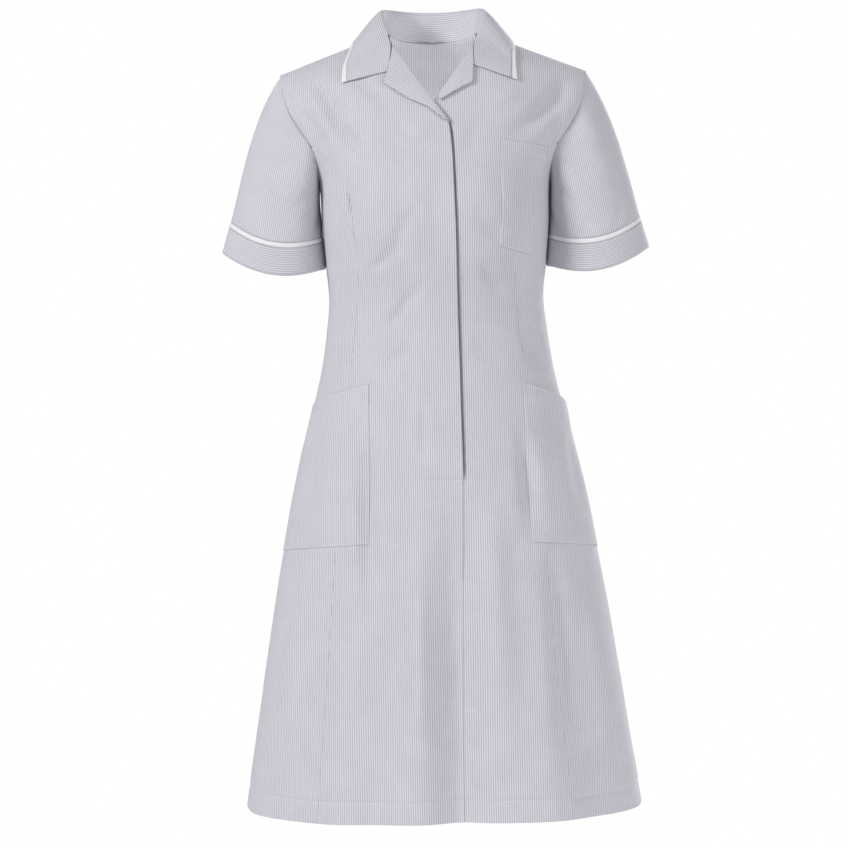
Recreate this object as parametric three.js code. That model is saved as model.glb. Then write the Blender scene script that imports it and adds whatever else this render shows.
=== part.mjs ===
// A nurse's short-sleeved uniform dress, standing open as it does when it is worn: princess-seamed fronts
// that lap at a concealed fly, a one-piece back, set-in sleeves with piped cuffs, an open collar with lapels,
// two hip pockets and a chest pocket. Millimetres, +Z up, the front faces -Y and the wearer's left is +X.
// The origin is midway between the neck ends of the two shoulder seams.
import * as THREE from "three";

// Cloth
const WALL = 1.2; // the panels
const FACED_WALL = 1.6; // collar, lapels and cuffs, which are two layers
const SEAM_GAP = 0.5; // between two pieces that are sewn edge to edge
const LAY_GAP = 1.3; // between a panel and what lies on it

// Levels, measured down from the shoulder seam's neck end
const UNDERARM = -200;
const HEM = -1009;
const FLY_END = -583; // below it the fly's edge goes on as the centre front seam

// Shoulders
const NECK_HALF = 58; // half the width between the shoulder seams' neck ends
const SHOULDER_SLOPE = 0.383; // fall of the shoulder seam for each millimetre outwards
const FRONT_ROUND = 85; // depth over which the shoulder rounds from its seam to the chest
const BACK_ROUND = 60; // and to the back
const BACK_NECK_DROP = 7; // centre back, below the shoulder seams' neck ends

const ROUND = 2.2; // exponent of the rings, 2 being an ellipse
const RIGHT = -1; // the wearer's right, at -X
const LEFT = 1;

// The rings of the dress from the shoulders to the hem: half width, and depth to the front and to the back.
// Above the underarm they are the rings that the chest and back would have without armholes.
const FORM = [
  { z: 40, half: 238, front: 48, back: 62 },
  { z: 0, half: 232, front: 60, back: 74 },
  { z: -50, half: 222, front: 76, back: 92 },
  { z: -100, half: 209, front: 90, back: 101 },
  { z: -130, half: 190, front: 97, back: 104 },
  { z: -150, half: 176, front: 102, back: 105 },
  { z: -175, half: 159, front: 108, back: 105 },
  { z: -200, half: 150, front: 112, back: 104 },
  { z: -250, half: 147.5, front: 116, back: 99 },
  { z: -300, half: 143, front: 112, back: 91 },
  { z: -345, half: 139, front: 104, back: 85 },
  { z: -390, half: 143, front: 100, back: 84 },
  { z: -430, half: 149, front: 102, back: 90 },
  { z: -480, half: 160, front: 106, back: 101 },
  { z: -540, half: 176, front: 112, back: 112 },
  { z: -600, half: 190, front: 119, back: 122 },
  { z: -680, half: 205, front: 128, back: 134 },
  { z: -760, half: 219, front: 138, back: 145 },
  { z: -850, half: 233, front: 149, back: 157 },
  { z: -930, half: 245, front: 160, back: 168 },
  { z: HEM, half: 256, front: 170, back: 178 },
];

// The soft fullness that the princess seams give at the bust
const BUST = { x: 80, z: -238, wide: 58, tall: 72, rise: 13 };

// Soft folds of the skirt: where each lies, in degrees round from centre front, its half width in degrees,
// how far it stands out at the hem (or in, below zero) and the height where it begins
const FOLDS = [
  { at: -68, wide: 9, rise: 4, from: -560 },
  { at: -47, wide: 8, rise: -3, from: -640 },
  { at: -30, wide: 8, rise: 5, from: -520 },
  { at: -18, wide: 5, rise: -3, from: -600 },
  { at: -9, wide: 5, rise: 3, from: -560 },
  { at: 7, wide: 8, rise: -8, from: -580 },
  { at: 30, wide: 9, rise: 6, from: -540 },
  { at: 48, wide: 8, rise: -5, from: -600 },
  { at: 70, wide: 9, rise: 4, from: -620 },
  { at: 103, wide: 9, rise: -4, from: -640 },
  { at: 122, wide: 9, rise: 6, from: -560 },
  { at: 143, wide: 8, rise: -6, from: -600 },
  { at: 163, wide: 9, rise: 7, from: -540 },
  { at: -174, wide: 8, rise: -8, from: -520 },
  { at: -152, wide: 9, rise: 6, from: -580 },
  { at: -131, wide: 8, rise: -5, from: -620 },
  { at: -108, wide: 9, rise: 5, from: -570 },
];

// The neck and front edge of the right front, which laps over: x at each height. It is the lapel's roll line
// down to the break, and then the edge of the fly and of the seam below it.
const OVER_EDGE = [
  { z: 0, x: -58 },
  { z: -19, x: -52 },
  { z: -68, x: -22 },
  { z: -98, x: -0.5 },
  { z: -112, x: 10.5 },
  { z: -127, x: 20 },
  { z: -148, x: 24.5 },
  { z: -200, x: 27 },
  { z: -350, x: 29.5 },
  { z: FLY_END, x: 30.5 },
  { z: -760, x: 28 },
  { z: HEM, x: 25 },
];

// The same edge of the left front, which runs on under the fly
const UNDER_EDGE = [
  { z: 0, x: 58 },
  { z: -19, x: 52 },
  { z: -68, x: 22 },
  { z: -98, x: 0 },
  { z: -115, x: -11 },
  { z: -137, x: -15 },
  { z: HEM, x: -15 },
];
// The lapped fly stands proud of the panel under it, from below the neck down
const FLY = { width: 47, rise: 2.4, fade: 30, starts: -50, full: -92 };

const FRONT_ARMHOLE = [
  { z: -54, x: 199 },
  { z: -76, x: 194.5 },
  { z: -105, x: 186.5 },
  { z: -128, x: 173.5 },
  { z: -150, x: 159 },
  { z: -170, x: 151.5 },
  { z: -185, x: 150 },
  { z: UNDERARM, x: 150 },
];
const BACK_ARMHOLE = [
  { z: -54, x: 199 },
  { z: -80, x: 191 },
  { z: -110, x: 184 },
  { z: -140, x: 176 },
  { z: -165, x: 165 },
  { z: -185, x: 154.5 },
  { z: UNDERARM, x: 150 },
];

// The princess seam, from the front armhole over the bust to the hem
const PRINCESS = [
  { z: -150, x: 159 },
  { z: -172, x: 134 },
  { z: -195, x: 117 },
  { z: -225, x: 106 },
  { z: -260, x: 100 },
  { z: -300, x: 98 },
  { z: -345, x: 100 },
  { z: -400, x: 106 },
  { z: -447, x: 112 },
  { z: -540, x: 122 },
  { z: -700, x: 136 },
  { z: -850, x: 149 },
  { z: HEM, x: 160 },
];

// Sleeves. Each line along the sleeve leaves the armhole in one direction and arrives at the hem in another.
const SLEEVE = {
  hemCentre: { x: 211, z: -295 },
  hemHalf: 66,
  hemTilt: 11, // how much higher the hem's outer end is than its middle
  hemDepth: 54,
  frontDrop: 20, // how far the hem hangs below its chord in front, and behind
  backDrop: 7,
  standOff: 0.6, // from the body panels, outwards
};
const SLEEVE_LEAVES = {
  top: [0.55, 0, -0.78],
  front: [0.36, -0.24, -0.87],
  under: [0.06, 0, -1],
  back: [0.36, 0.24, -0.87],
};
const SLEEVE_ARRIVES = { top: [0.3, 0, -0.95], front: [0.1, 0, -1], under: [-0.08, 0, -1], back: [0.1, 0, -1] };
const CUFF = 35;
const PIPING = 6.5;

// The collar's half on the wearer's left, from centre back round to where its stand ends: x of the seam that
// joins the stand to the neck, the top of the roll, and the outer edge, which lies on the back panel for the
// first rows, on the shoulder seam for the middle one and on the front for the rest.
const COLLAR = [
  { seamX: 0, roll: [0, 60, 32.5], edge: [0, -27], lift: 3, on: "back" },
  { seamX: 22, roll: [26, 56, 33], edge: [34, -26], lift: 3, on: "back" },
  { seamX: 42, roll: [50, 39, 33.5], edge: [67, -23], lift: 4.5, on: "back" },
  { seamX: 54, roll: [63, 18, 32], edge: [92, -19], lift: 5.5, on: "back" },
  { seamX: 58, roll: [66.5, 0, 27], edge: [104, -18], lift: 5.5, on: "seam" },
  { seamX: 57.2, roll: [65.5, -13, 18], edge: [107, -30], lift: 6, on: "front" },
  { seamX: 55.6, roll: [62, -24, 6], edge: [109, -42], lift: 5, on: "front" },
  { seamX: 54.2, roll: [57.5, -33, -7], edge: [110.5, -52], lift: 4, on: "front" },
];
// The collar's end beyond its stand: the gorge, next to the lapel, and the outer edge
const COLLAR_END = [
  { gorge: [54, -22], edge: [111, -59], lift: 4.2 },
  { gorge: [55, -38], edge: [111.3, -65], lift: 4.6 },
  { gorge: [56, -53], edge: [111.5, -71], lift: 5.2 },
];
const GORGE_LIFT = 3.2;
const ROLL_REACH = 26; // how strongly the collar swings out over its roll
const STAND_GAP = 0.8; // the stand's seam, above the neck
const LEAF_DEPTH = 1.04; // how much longer the leaf is than the straight way from its roll to its edge
const STAND_ROWS = COLLAR.length - 1;
const COLLAR_ROWS = STAND_ROWS + COLLAR_END.length;
const COLLAR_SHIFT = -5; // the collar's points sit a little towards the wearer's right

// Lapels: the roll line and the outer edge, from the notch down to the break
const OVER_LAPEL = {
  side: RIGHT,
  roll: [[-51.8, -21.5], [-24.5, -64], [-1, -98], [17.5, -124]],
  edge: [[-63.5, -74], [-31, -95.5], [-5.5, -107.5], [15, -124]],
};
const UNDER_LAPEL = {
  side: LEFT,
  roll: [[51.8, -21.5], [35, -48], [20.5, -70], [5.5, -91]],
  edge: [[49.5, -74.5], [36, -80.5], [20.5, -89.5], [7, -97]],
};
const LAPEL = { rollLift: 3.3, edgeLift: 4.2, gorgeBend: 3.2 };

// Pockets
const HIP_POCKET = {
  topInner: -457,
  topOuter: -484,
  bottomInner: -661,
  bottomOuter: -671,
  innerX: { [RIGHT]: [-88, -92], [LEFT]: [107, 117] },
  gape: { [RIGHT]: 1.5, [LEFT]: 5 }, // how far the mouth stands open at the side
};
const CHEST_POCKET = {
  left: [85.5, 80.5],
  right: [146, 117],
  top: [-148.5, -157],
  bottom: [-285.5, -296],
  belly: 5, // how far its outer edge curves in
  swell: 0.5,
};

const clamp01 = (t) => Math.min(1, Math.max(0, t));
const mix = (a, b, t) => a + (b - a) * t;
const ease = (t) => clamp01(t) ** 2 * (3 - 2 * clamp01(t));
const bell = (t) => Math.exp(-t * t);

// A column of a table whose rows run down in z, as a smooth curve.
function curve(table, column, z) {
  let i = 0;
  while (i < table.length - 2 && z < table[i + 1].z) i++;
  const slope = (k) => {
    const before = table[Math.max(k - 1, 0)];
    const after = table[Math.min(k + 1, table.length - 1)];
    return (after[column] - before[column]) / (after.z - before.z);
  };
  const span = table[i + 1].z - table[i].z;
  const t = clamp01((z - table[i].z) / span);
  return hermite(table[i][column], slope(i) * span, table[i + 1][column], slope(i + 1) * span, t);
}

function hermite(from, leave, to, arrive, t) {
  const s = 1 - t;
  return from * s * s * (1 + 2 * t) + leave * t * s * s + to * t * t * (3 - 2 * t) - arrive * t * t * s;
}

const shoulderHeight = (x) => -(Math.abs(x) - NECK_HALF) * SHOULDER_SLOPE;

// How much of its full depth the form has at a point below the shoulder seam.
function shoulderClosing(x, z, inFront) {
  const below = clamp01((shoulderHeight(x) - z) / (inFront ? FRONT_ROUND : BACK_ROUND));
  return Math.sqrt(1 - (1 - below) ** 2);
}

function foldRise(turn, z) {
  const degrees = THREE.MathUtils.radToDeg(turn);
  return FOLDS.reduce((sum, fold) => {
    const around = Math.abs(((degrees - fold.at + 540) % 360) - 180);
    return sum + fold.rise * bell(around / fold.wide) * ease((z - fold.from) / (HEM - fold.from));
  }, 0);
}

// A point of the form: turn is the angle round from centre front, positive towards +X, and lift is outwards.
function onForm(turn, z, lift = 0) {
  const inFront = Math.abs(turn) <= Math.PI / 2;
  const half = curve(FORM, "half", z);
  const depth = curve(FORM, inFront ? "front" : "back", z);
  const sine = Math.sin(turn);
  const across = Math.sign(sine) * Math.abs(sine) ** (2 / ROUND);
  const along = (inFront ? -1 : 1) * Math.abs(Math.cos(turn)) ** (2 / ROUND);
  const x = half * across;
  const y = depth * along * shoulderClosing(x, z, inFront);
  const out = new THREE.Vector3(
    (Math.sign(across) * Math.abs(across) ** (ROUND - 1)) / half,
    (Math.sign(along) * Math.abs(along) ** (ROUND - 1)) / depth,
    0,
  ).normalize();
  let rise = foldRise(turn, z) + lift;
  if (inFront) {
    const bust = bell((Math.abs(x) - BUST.x) / BUST.wide) * bell((z - BUST.z) / BUST.tall);
    rise += BUST.rise * bust * Math.abs(along);
  }
  return new THREE.Vector3(x, y, z).addScaledVector(out, rise);
}

// The turn at which the form has this x at this height, in front or behind.
function turnAt(x, z, behind = false) {
  const share = Math.min(1, Math.abs(x) / curve(FORM, "half", z));
  const turn = Math.asin(share ** (ROUND / 2));
  return Math.sign(x || 1) * (behind ? Math.PI - turn : turn);
}

// A level is a line round the form: a height below the underarm, and above it a line that climbs with the
// shoulder seam.
function heightOn(level, x) {
  if (level <= UNDERARM) return level;
  const share = 1 - Math.cos(((level / UNDERARM) * Math.PI) / 2);
  return mix(shoulderHeight(x), UNDERARM, share);
}

// Where a level meets an edge that is given as x over height.
function meet(level, edgeX) {
  let x = edgeX(level);
  for (let i = 0; i < 12; i++) x = edgeX(heightOn(level, x));
  return { x, z: heightOn(level, x) };
}

function onLevel(turn, level, lift) {
  let z = level;
  for (let i = 0; level > UNDERARM && i < 12; i++) z = heightOn(level, onForm(turn, z).x);
  return onForm(turn, z, lift ? lift(turn, z) : 0);
}

// Evenly spaced numbers from a to b, both included.
const steps = (a, b, count) => Array.from({ length: count + 1 }, (_, i) => mix(a, b, i / count));

const SHOULDER_LEVEL = -0.4; // the first level, half a seam gap from the shoulder seam
const NECK_LEVEL = -66.03; // the level that meets the back neck at centre back
const PRINCESS_LEVEL = -162; // the level where the princess seam has left the armhole
const BELOW_PRINCESS = [...steps(PRINCESS_LEVEL, UNDERARM, 2), ...steps(UNDERARM, HEM, 16).slice(1)];
const BELOW_NECK = steps(NECK_LEVEL, PRINCESS_LEVEL, 5).slice(1, -1);
const LEVELS = [...steps(SHOULDER_LEVEL, NECK_LEVEL, 4), ...BELOW_NECK, ...BELOW_PRINCESS];

// A patch is a grid of points of the cloth's face and the same grid one wall behind it.
function patch(pointAt, rows, columns, wall, facing = 1) {
  const near = (value, range, nudge) => {
    const [low, high] = [Math.min(range[0], range.at(-1)), Math.max(range[0], range.at(-1))];
    return [Math.max(value - nudge, low), Math.min(value + nudge, high)];
  };
  const falling = rows[0] > rows.at(-1) ? -1 : 1;
  const face = [];
  const lining = [];
  for (const a of rows) {
    const faceRow = [];
    const liningRow = [];
    for (const b of columns) {
      const point = pointAt(a, b);
      const [a0, a1] = near(a, rows, 1e-3);
      const [b0, b1] = near(b, columns, 1e-3);
      const down = pointAt(a1, b).sub(pointAt(a0, b));
      const across = pointAt(a, b1).sub(pointAt(a, b0));
      const out = across.cross(down).normalize().multiplyScalar(-facing * falling);
      faceRow.push(point);
      liningRow.push(point.clone().addScaledVector(out, -wall));
    }
    face.push(facing < 0 ? faceRow.reverse() : faceRow);
    lining.push(facing < 0 ? liningRow.reverse() : liningRow);
  }
  return { face, lining };
}

// One closed solid from patches that meet at their edges, with a rim wherever an edge is free.
function clothGeometry(patches) {
  const points = [];
  const known = new Map();
  const numberOf = (face, lining) => {
    const key = face.toArray().map((c) => Math.round(c * 200)).join();
    if (!known.has(key)) {
      known.set(key, points.length / 2);
      points.push(face, lining);
    }
    return known.get(key);
  };
  const triangles = [];
  const free = new Map();
  const addTriangle = (a, b, c) => {
    if (a === b || b === c || c === a) return;
    triangles.push([2 * a, 2 * b, 2 * c], [2 * a + 1, 2 * c + 1, 2 * b + 1]);
    for (const [from, to] of [[a, b], [b, c], [c, a]]) {
      if (free.has(to + "," + from)) free.delete(to + "," + from);
      else free.set(from + "," + to, [from, to]);
    }
  };
  for (const { face, lining } of patches) {
    const grid = face.map((row, i) => row.map((point, j) => numberOf(point, lining[i][j])));
    for (let i = 0; i + 1 < grid.length; i++) {
      for (let j = 0; j + 1 < grid[i].length; j++) {
        addTriangle(grid[i][j], grid[i + 1][j], grid[i][j + 1]);
        addTriangle(grid[i][j + 1], grid[i + 1][j], grid[i + 1][j + 1]);
      }
    }
  }
  for (const [from, to] of free.values()) {
    triangles.push([2 * to, 2 * from, 2 * from + 1], [2 * to, 2 * from + 1, 2 * to + 1]);
  }
  const geometry = new THREE.BufferGeometry().setFromPoints(points);
  geometry.setIndex(triangles.flat());
  const [a, b, c] = [new THREE.Vector3(), new THREE.Vector3(), new THREE.Vector3()];
  const volume = triangles.reduce(
    (sum, [i, j, k]) => sum + a.copy(points[i]).dot(b.copy(points[j]).cross(c.copy(points[k]))),
    0,
  );
  if (volume < 0) geometry.setIndex(triangles.flatMap(([i, j, k]) => [i, k, j]));
  geometry.computeVertexNormals();
  return geometry;
}

const STRIPED = { color: 0xcfcfd6, roughness: 0.85, metalness: 0, side: THREE.DoubleSide };
const WHITE = { color: 0xf0f1f4, roughness: 0.8, metalness: 0 };

function cloth(name, patches, finish = STRIPED) {
  const mesh = new THREE.Mesh(clothGeometry(patches), new THREE.MeshStandardMaterial(finish));
  mesh.name = name;
  return mesh;
}

const half = SEAM_GAP / 2;
const overEdge = (z) => curve(OVER_EDGE, "x", z);
const underEdge = (z) => curve(UNDER_EDGE, "x", z);
const frontArmhole = (z) => curve(FRONT_ARMHOLE, "x", z);
const princess = (z) => (z > PRINCESS[0].z ? frontArmhole(z) : curve(PRINCESS, "x", z));

// How far the lapped front stands out, across the fly and back to the panel beside it.
function flyLift(turn, z) {
  const inFromEdge = overEdge(z) - onForm(turn, z).x;
  const started = ease((z - FLY.starts) / (FLY.full - FLY.starts));
  return FLY.rise * started * (1 - ease((inFromEdge - FLY.width) / FLY.fade));
}

// A centre front, from its front edge out to the armhole and the princess seam.
function centreFront(side, edge, lift) {
  const outer = (z) => side * (princess(z) - half);
  const pointAt = (level, share) => {
    const from = meet(level, (z) => edge(z));
    const to = meet(level, outer);
    return onLevel(mix(turnAt(from.x, from.z), turnAt(to.x, to.z), share), level, lift);
  };
  return patch(pointAt, LEVELS, steps(0, 1, 7), WALL, side);
}

// A side front, from the princess seam round to the side seam.
function sideFront(side) {
  const pointAt = (level, share) => {
    const from = meet(level, (z) => side * (princess(z) + half));
    const armhole = meet(level, (z) => side * frontArmhole(z));
    const sideSeam = side * Math.acos((half / curve(FORM, "front", level)) ** (ROUND / 2));
    const to = level > UNDERARM ? turnAt(armhole.x, armhole.z) : sideSeam;
    const last = Math.abs(to) > Math.abs(sideSeam) ? sideSeam : to;
    return onLevel(mix(turnAt(from.x, from.z), last, share), level);
  };
  return patch(pointAt, BELOW_PRINCESS, steps(0, 1, 6), WALL, side);
}

const backNeckHeight = (x) => BACK_NECK_DROP * ((x / NECK_HALF) ** 2 - 1);

// Half of the back, from centre back or the neck out to the armhole and the side seam.
function backHalf(side) {
  const pointAt = (level, share) => {
    let inner = level > UNDERARM ? NECK_HALF : 0;
    for (let i = 0; i < 80 && inner > 0; i++) {
      inner = clamp01(inner / NECK_HALF + 0.03 * (heightOn(level, inner) - backNeckHeight(inner))) * NECK_HALF;
    }
    const armhole = meet(level, (z) => side * curve(BACK_ARMHOLE, "x", z));
    const sideSeam = side * (Math.PI - Math.acos((half / curve(FORM, "back", level)) ** (ROUND / 2)));
    const to = level > UNDERARM ? turnAt(armhole.x, armhole.z, true) : sideSeam;
    const last = Math.abs(to) < Math.abs(sideSeam) ? sideSeam : to;
    const from = side * Math.abs(turnAt(inner, heightOn(level, inner), true));
    return onLevel(mix(from, last, share), level);
  };
  return patch(pointAt, LEVELS, steps(0, 1, 7), WALL, -side);
}

// The armhole as a closed line: share 0 at the shoulder, 0.5 at the underarm, the front first.
const ARMHOLE_LINE = (() => {
  const line = [];
  const top = FRONT_ARMHOLE[0].z;
  for (const share of steps(0, 1, 60)) {
    const z = mix(top, UNDERARM, (1 - Math.cos(Math.PI * share)) / 2);
    line.push(onForm(turnAt(frontArmhole(z), z), z));
  }
  for (const share of steps(1, 0, 60).slice(1, -1)) {
    const z = mix(top, UNDERARM, (1 - Math.cos(Math.PI * share)) / 2);
    line.push(onForm(turnAt(curve(BACK_ARMHOLE, "x", z), z, true), z));
  }
  line[0].setY(0);
  line[60].setY(0);
  return line;
})();

function armholePoint(share) {
  const halves = share <= 0.5 ? ARMHOLE_LINE.slice(0, 61) : [...ARMHOLE_LINE.slice(60), ARMHOLE_LINE[0]];
  const lengths = halves.map((p, i) => (i ? p.distanceTo(halves[i - 1]) : 0));
  let left = lengths.reduce((a, b) => a + b) * (share <= 0.5 ? 2 * share : 2 * share - 1);
  let i = 1;
  while (i < halves.length - 1 && left > lengths[i]) left -= lengths[i++];
  return halves[i - 1].clone().lerp(halves[i], lengths[i] ? left / lengths[i] : 0);
}

// A direction that turns smoothly round the sleeve, from four given ones.
function roundSleeve(directions, share) {
  const quarter = share * 4;
  const names = ["top", "front", "under", "back", "top"];
  const i = Math.min(3, Math.floor(quarter));
  return new THREE.Vector3(...directions[names[i]]).lerp(
    new THREE.Vector3(...directions[names[i + 1]]),
    ease(quarter - i),
  );
}

function sleeveHem(share) {
  const angle = share * 2 * Math.PI;
  const drop = (share < 0.5 ? SLEEVE.frontDrop : SLEEVE.backDrop) * Math.sin(angle) ** 2;
  return new THREE.Vector3(
    SLEEVE.hemCentre.x + SLEEVE.hemHalf * Math.cos(angle),
    -SLEEVE.hemDepth * Math.sin(angle),
    SLEEVE.hemCentre.z + SLEEVE.hemTilt * Math.cos(angle) - drop,
  );
}

// A point of the left sleeve: down from 0 at the armhole to 1 at the hem, share is the way round.
function onSleeve(down, share) {
  const from = armholePoint(share).add(new THREE.Vector3(SLEEVE.standOff, 0, 0));
  const to = sleeveHem(share);
  const length = from.distanceTo(to);
  const leave = roundSleeve(SLEEVE_LEAVES, share).multiplyScalar(length);
  const arrive = roundSleeve(SLEEVE_ARRIVES, share).multiplyScalar(length);
  const at = (axis) => hermite(from[axis], leave[axis], to[axis], arrive[axis], down);
  return new THREE.Vector3(at("x"), at("y"), at("z"));
}

// The way down a sleeve line where this much of it is left before the hem.
const beforeHem = (left, share) => 1 - left / onSleeve(0, share).distanceTo(sleeveHem(share));

// A band round the sleeve between two lines, each given as the way down at a share of the way round.
function sleeveBand(side, upper, lower, rowCount, wall, proud = 0) {
  const pointAt = (row, share) => {
    const point = onSleeve(mix(upper(share), lower(share), row), share);
    const out = new THREE.Vector3(point.x - SLEEVE.hemCentre.x, point.y, 0).normalize();
    return point.addScaledVector(out, proud).multiply(new THREE.Vector3(side, 1, 1));
  };
  const made = patch(pointAt, steps(0, 1, rowCount), steps(0, 1, SLEEVE_COLUMNS), wall, -side);
  for (const grid of [made.face, made.lining]) {
    for (const row of grid) row[row.length - 1] = row[0].clone();
  }
  return made;
}

const SLEEVE_START = 1.5; // millimetres from the armhole, along the sleeve
const SLEEVE_COLUMNS = 24;
const BAND_PROUD = 0.3; // the piping and the cuff stand this far out from the sleeve's own line
const pipingTop = CUFF + PIPING;
const startOf = (share) => SLEEVE_START / onSleeve(0, share).distanceTo(sleeveHem(share));
const at = (left) => (share) => beforeHem(left, share);
const sleeve = (side) => sleeveBand(side, startOf, at(pipingTop + half), 7, WALL);
const cuffPiping = (side) => sleeveBand(side, at(pipingTop - half), at(CUFF + half), 1, WALL, BAND_PROUD);
const cuff = (side) => sleeveBand(side, at(CUFF - half), () => 1, 2, FACED_WALL, BAND_PROUD);

// A point on the outside of the front or the back at an x and a height.
const onPanel = (x, z, lift, behind = false) => onForm(turnAt(x, z, behind), z, lift);

// The way along the panel at a point towards another point of it, as long as the distance between the two.
function alongPanel(at, towards, lift) {
  const near = [mix(at[0], towards[0], 0.02), mix(at[1], towards[1], 0.02)];
  const step = onPanel(...near, lift).sub(onPanel(...at, lift));
  return step.setLength(onPanel(...at, 0).distanceTo(onPanel(...towards, 0)));
}

// One row of the collar: the stand's seam, the top of the roll, the outer edge, and the ways it leaves and
// arrives.
function collarRow(side, index) {
  if (index < 0) return mirrored(collarRow(-side, -index));
  const last = Math.min(index, COLLAR_ROWS);
  const row = last > STAND_ROWS ? COLLAR_END[last - STAND_ROWS - 1] : COLLAR[last];
  const behind = row.on === "back";
  const shift = side * COLLAR_SHIFT * ease((last - 4) / 3);
  const edgeAt = [row.edge[0] + shift, row.edge[1]];
  const edge = row.on === "seam"
    ? new THREE.Vector3(edgeAt[0], 0, edgeAt[1] + row.lift)
    : onPanel(...edgeAt, row.lift, behind);
  if (row.gorge) {
    const top = onPanel(...row.gorge, GORGE_LIFT);
    const leave = alongPanel(row.gorge, edgeAt, GORGE_LIFT);
    const arrive = alongPanel(edgeAt, row.gorge, row.lift).negate();
    return { seam: top.clone(), top, edge, leave, arrive };
  }
  const seamZ = behind ? backNeckHeight(row.seamX) : neckHeight(row.seamX);
  const seam = row.on === "seam" ? new THREE.Vector3(row.seamX, 0, 0) : onPanel(row.seamX, seamZ, 0, behind);
  seam.z += STAND_GAP;
  const top = new THREE.Vector3(...row.roll);
  const leave = edge.clone().sub(top).setZ(0).setLength(ROLL_REACH);
  return { seam, top, edge, leave, arrive: edge.clone().sub(top).multiplyScalar(0.9) };
}

function mirrored(row) {
  for (const point of Object.values(row)) point.x *= -1;
  return row;
}

// The height of the front neck at an x beside the shoulder seam.
const neckHeight = (x) => mix(OVER_EDGE[1].z, 0, (x + OVER_EDGE[1].x) / (NECK_HALF + OVER_EDGE[1].x));

// The collar's section anywhere between two rows.
function collarSection(side, position) {
  const i = Math.min(COLLAR_ROWS - 1, Math.floor(position));
  const rows = [i - 1, i, i + 1, i + 2].map((index) => collarRow(side, index));
  const blend = (name) => {
    const [before, from, to, after] = rows.map((row) => row[name]);
    const along = (axis) => {
      const leave = (to[axis] - before[axis]) / 2;
      const arrive = (after[axis] - from[axis]) / 2;
      return hermite(from[axis], leave, to[axis], arrive, position - i);
    };
    return new THREE.Vector3(along("x"), along("y"), along("z"));
  };
  return Object.fromEntries(["seam", "top", "edge", "leave", "arrive"].map((name) => [name, blend(name)]));
}

function hermitePoint(from, leave, to, arrive, t) {
  const along = (axis) => hermite(from[axis], leave[axis], to[axis], arrive[axis], t);
  return new THREE.Vector3(along("x"), along("y"), along("z"));
}

// A point of the collar: across runs from -1 at the neck seam over 0 at the roll to 1 at the outer edge.
function onCollar(side, position, across) {
  const { seam, top, edge, leave, arrive } = collarSection(side, position);
  const point = across < 0
    ? hermitePoint(seam, top.clone().sub(seam), top, leave, across + 1)
    : hermitePoint(top, leave, edge, arrive, across);
  return point.multiply(new THREE.Vector3(side, 1, 1));
}

const LEAF_COLUMNS = [0, 0.08, 0.2, 0.4, 0.65, 1];
const STAND_COLUMNS = [-1, -0.6, -0.25, -0.1, 0];

// Where the collar's outer trim begins, as a share of the leaf.
function trimStart(side, position, width) {
  const { top, edge } = collarSection(side, position);
  return 1 - width / (top.distanceTo(edge) * LEAF_DEPTH);
}

function collarPatches(side) {
  const leafEnd = (position) => trimStart(side, position, PIPING + SEAM_GAP);
  const leafRows = steps(0, COLLAR_ROWS, 15);
  const onLeaf = (row, s) => onCollar(side, row, s * leafEnd(row));
  const leaf = patch(onLeaf, leafRows, LEAF_COLUMNS, FACED_WALL, side);
  const standRows = leafRows.filter((row) => row <= STAND_ROWS);
  const stand = patch((row, s) => onCollar(side, row, s), standRows, STAND_COLUMNS, FACED_WALL, side);
  return [leaf, stand];
}

function collarTrimPatch(side) {
  const start = (position) => trimStart(side, position, PIPING - half);
  const pointAt = (row, s) => onCollar(side, row, mix(start(row), 1, s));
  return patch(pointAt, steps(0, COLLAR_ROWS, 15), [0, 1], FACED_WALL, side);
}

// A line of points given at equal steps, read anywhere from 0 to 1.
function along(points, share) {
  const i = Math.min(points.length - 2, Math.floor(share * (points.length - 1)));
  const t = share * (points.length - 1) - i;
  return [mix(points[i][0], points[i + 1][0], t), mix(points[i][1], points[i + 1][1], t)];
}

// A lapel, turned back from its roll line and lying on its own front.
function lapel({ side, roll, edge }) {
  const pointAt = (down, out) => {
    const [fromX, fromZ] = along(roll, down);
    const [toX, toZ] = along(edge, down);
    const bend = LAPEL.gorgeBend * 4 * out * (1 - out) * (1 - ease(down * 3));
    const [x, z] = [mix(fromX, toX, out) - side * bend, mix(fromZ, toZ, out)];
    const under = side === RIGHT ? flyLift(turnAt(x, z), z) : 0;
    return onPanel(x, z, under + mix(LAPEL.rollLift, LAPEL.edgeLift, out));
  };
  return patch(pointAt, steps(0, 1, 9), steps(0, 1, 5), FACED_WALL, side);
}

// A hip pocket, from its inner edge out to the side seam.
function hipPocket(side) {
  const { topInner, topOuter, bottomInner, bottomOuter } = HIP_POCKET;
  const [innerTop, innerBottom] = HIP_POCKET.innerX[side];
  const pointAt = (down, out) => {
    const z = mix(mix(topInner, topOuter, out), mix(bottomInner, bottomOuter, out), down);
    const inner = turnAt(mix(innerTop, innerBottom, down), z);
    const outer = side * Math.acos((1.5 / curve(FORM, "front", z)) ** (ROUND / 2));
    const gape = HIP_POCKET.gape[side] * (1 - ease(down * 4)) * ease(out * 1.4);
    return onForm(mix(inner, outer, out), z, WALL + LAY_GAP + gape);
  };
  return patch(pointAt, steps(0, 1, 9), steps(0, 1, 7), WALL, side);
}

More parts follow.
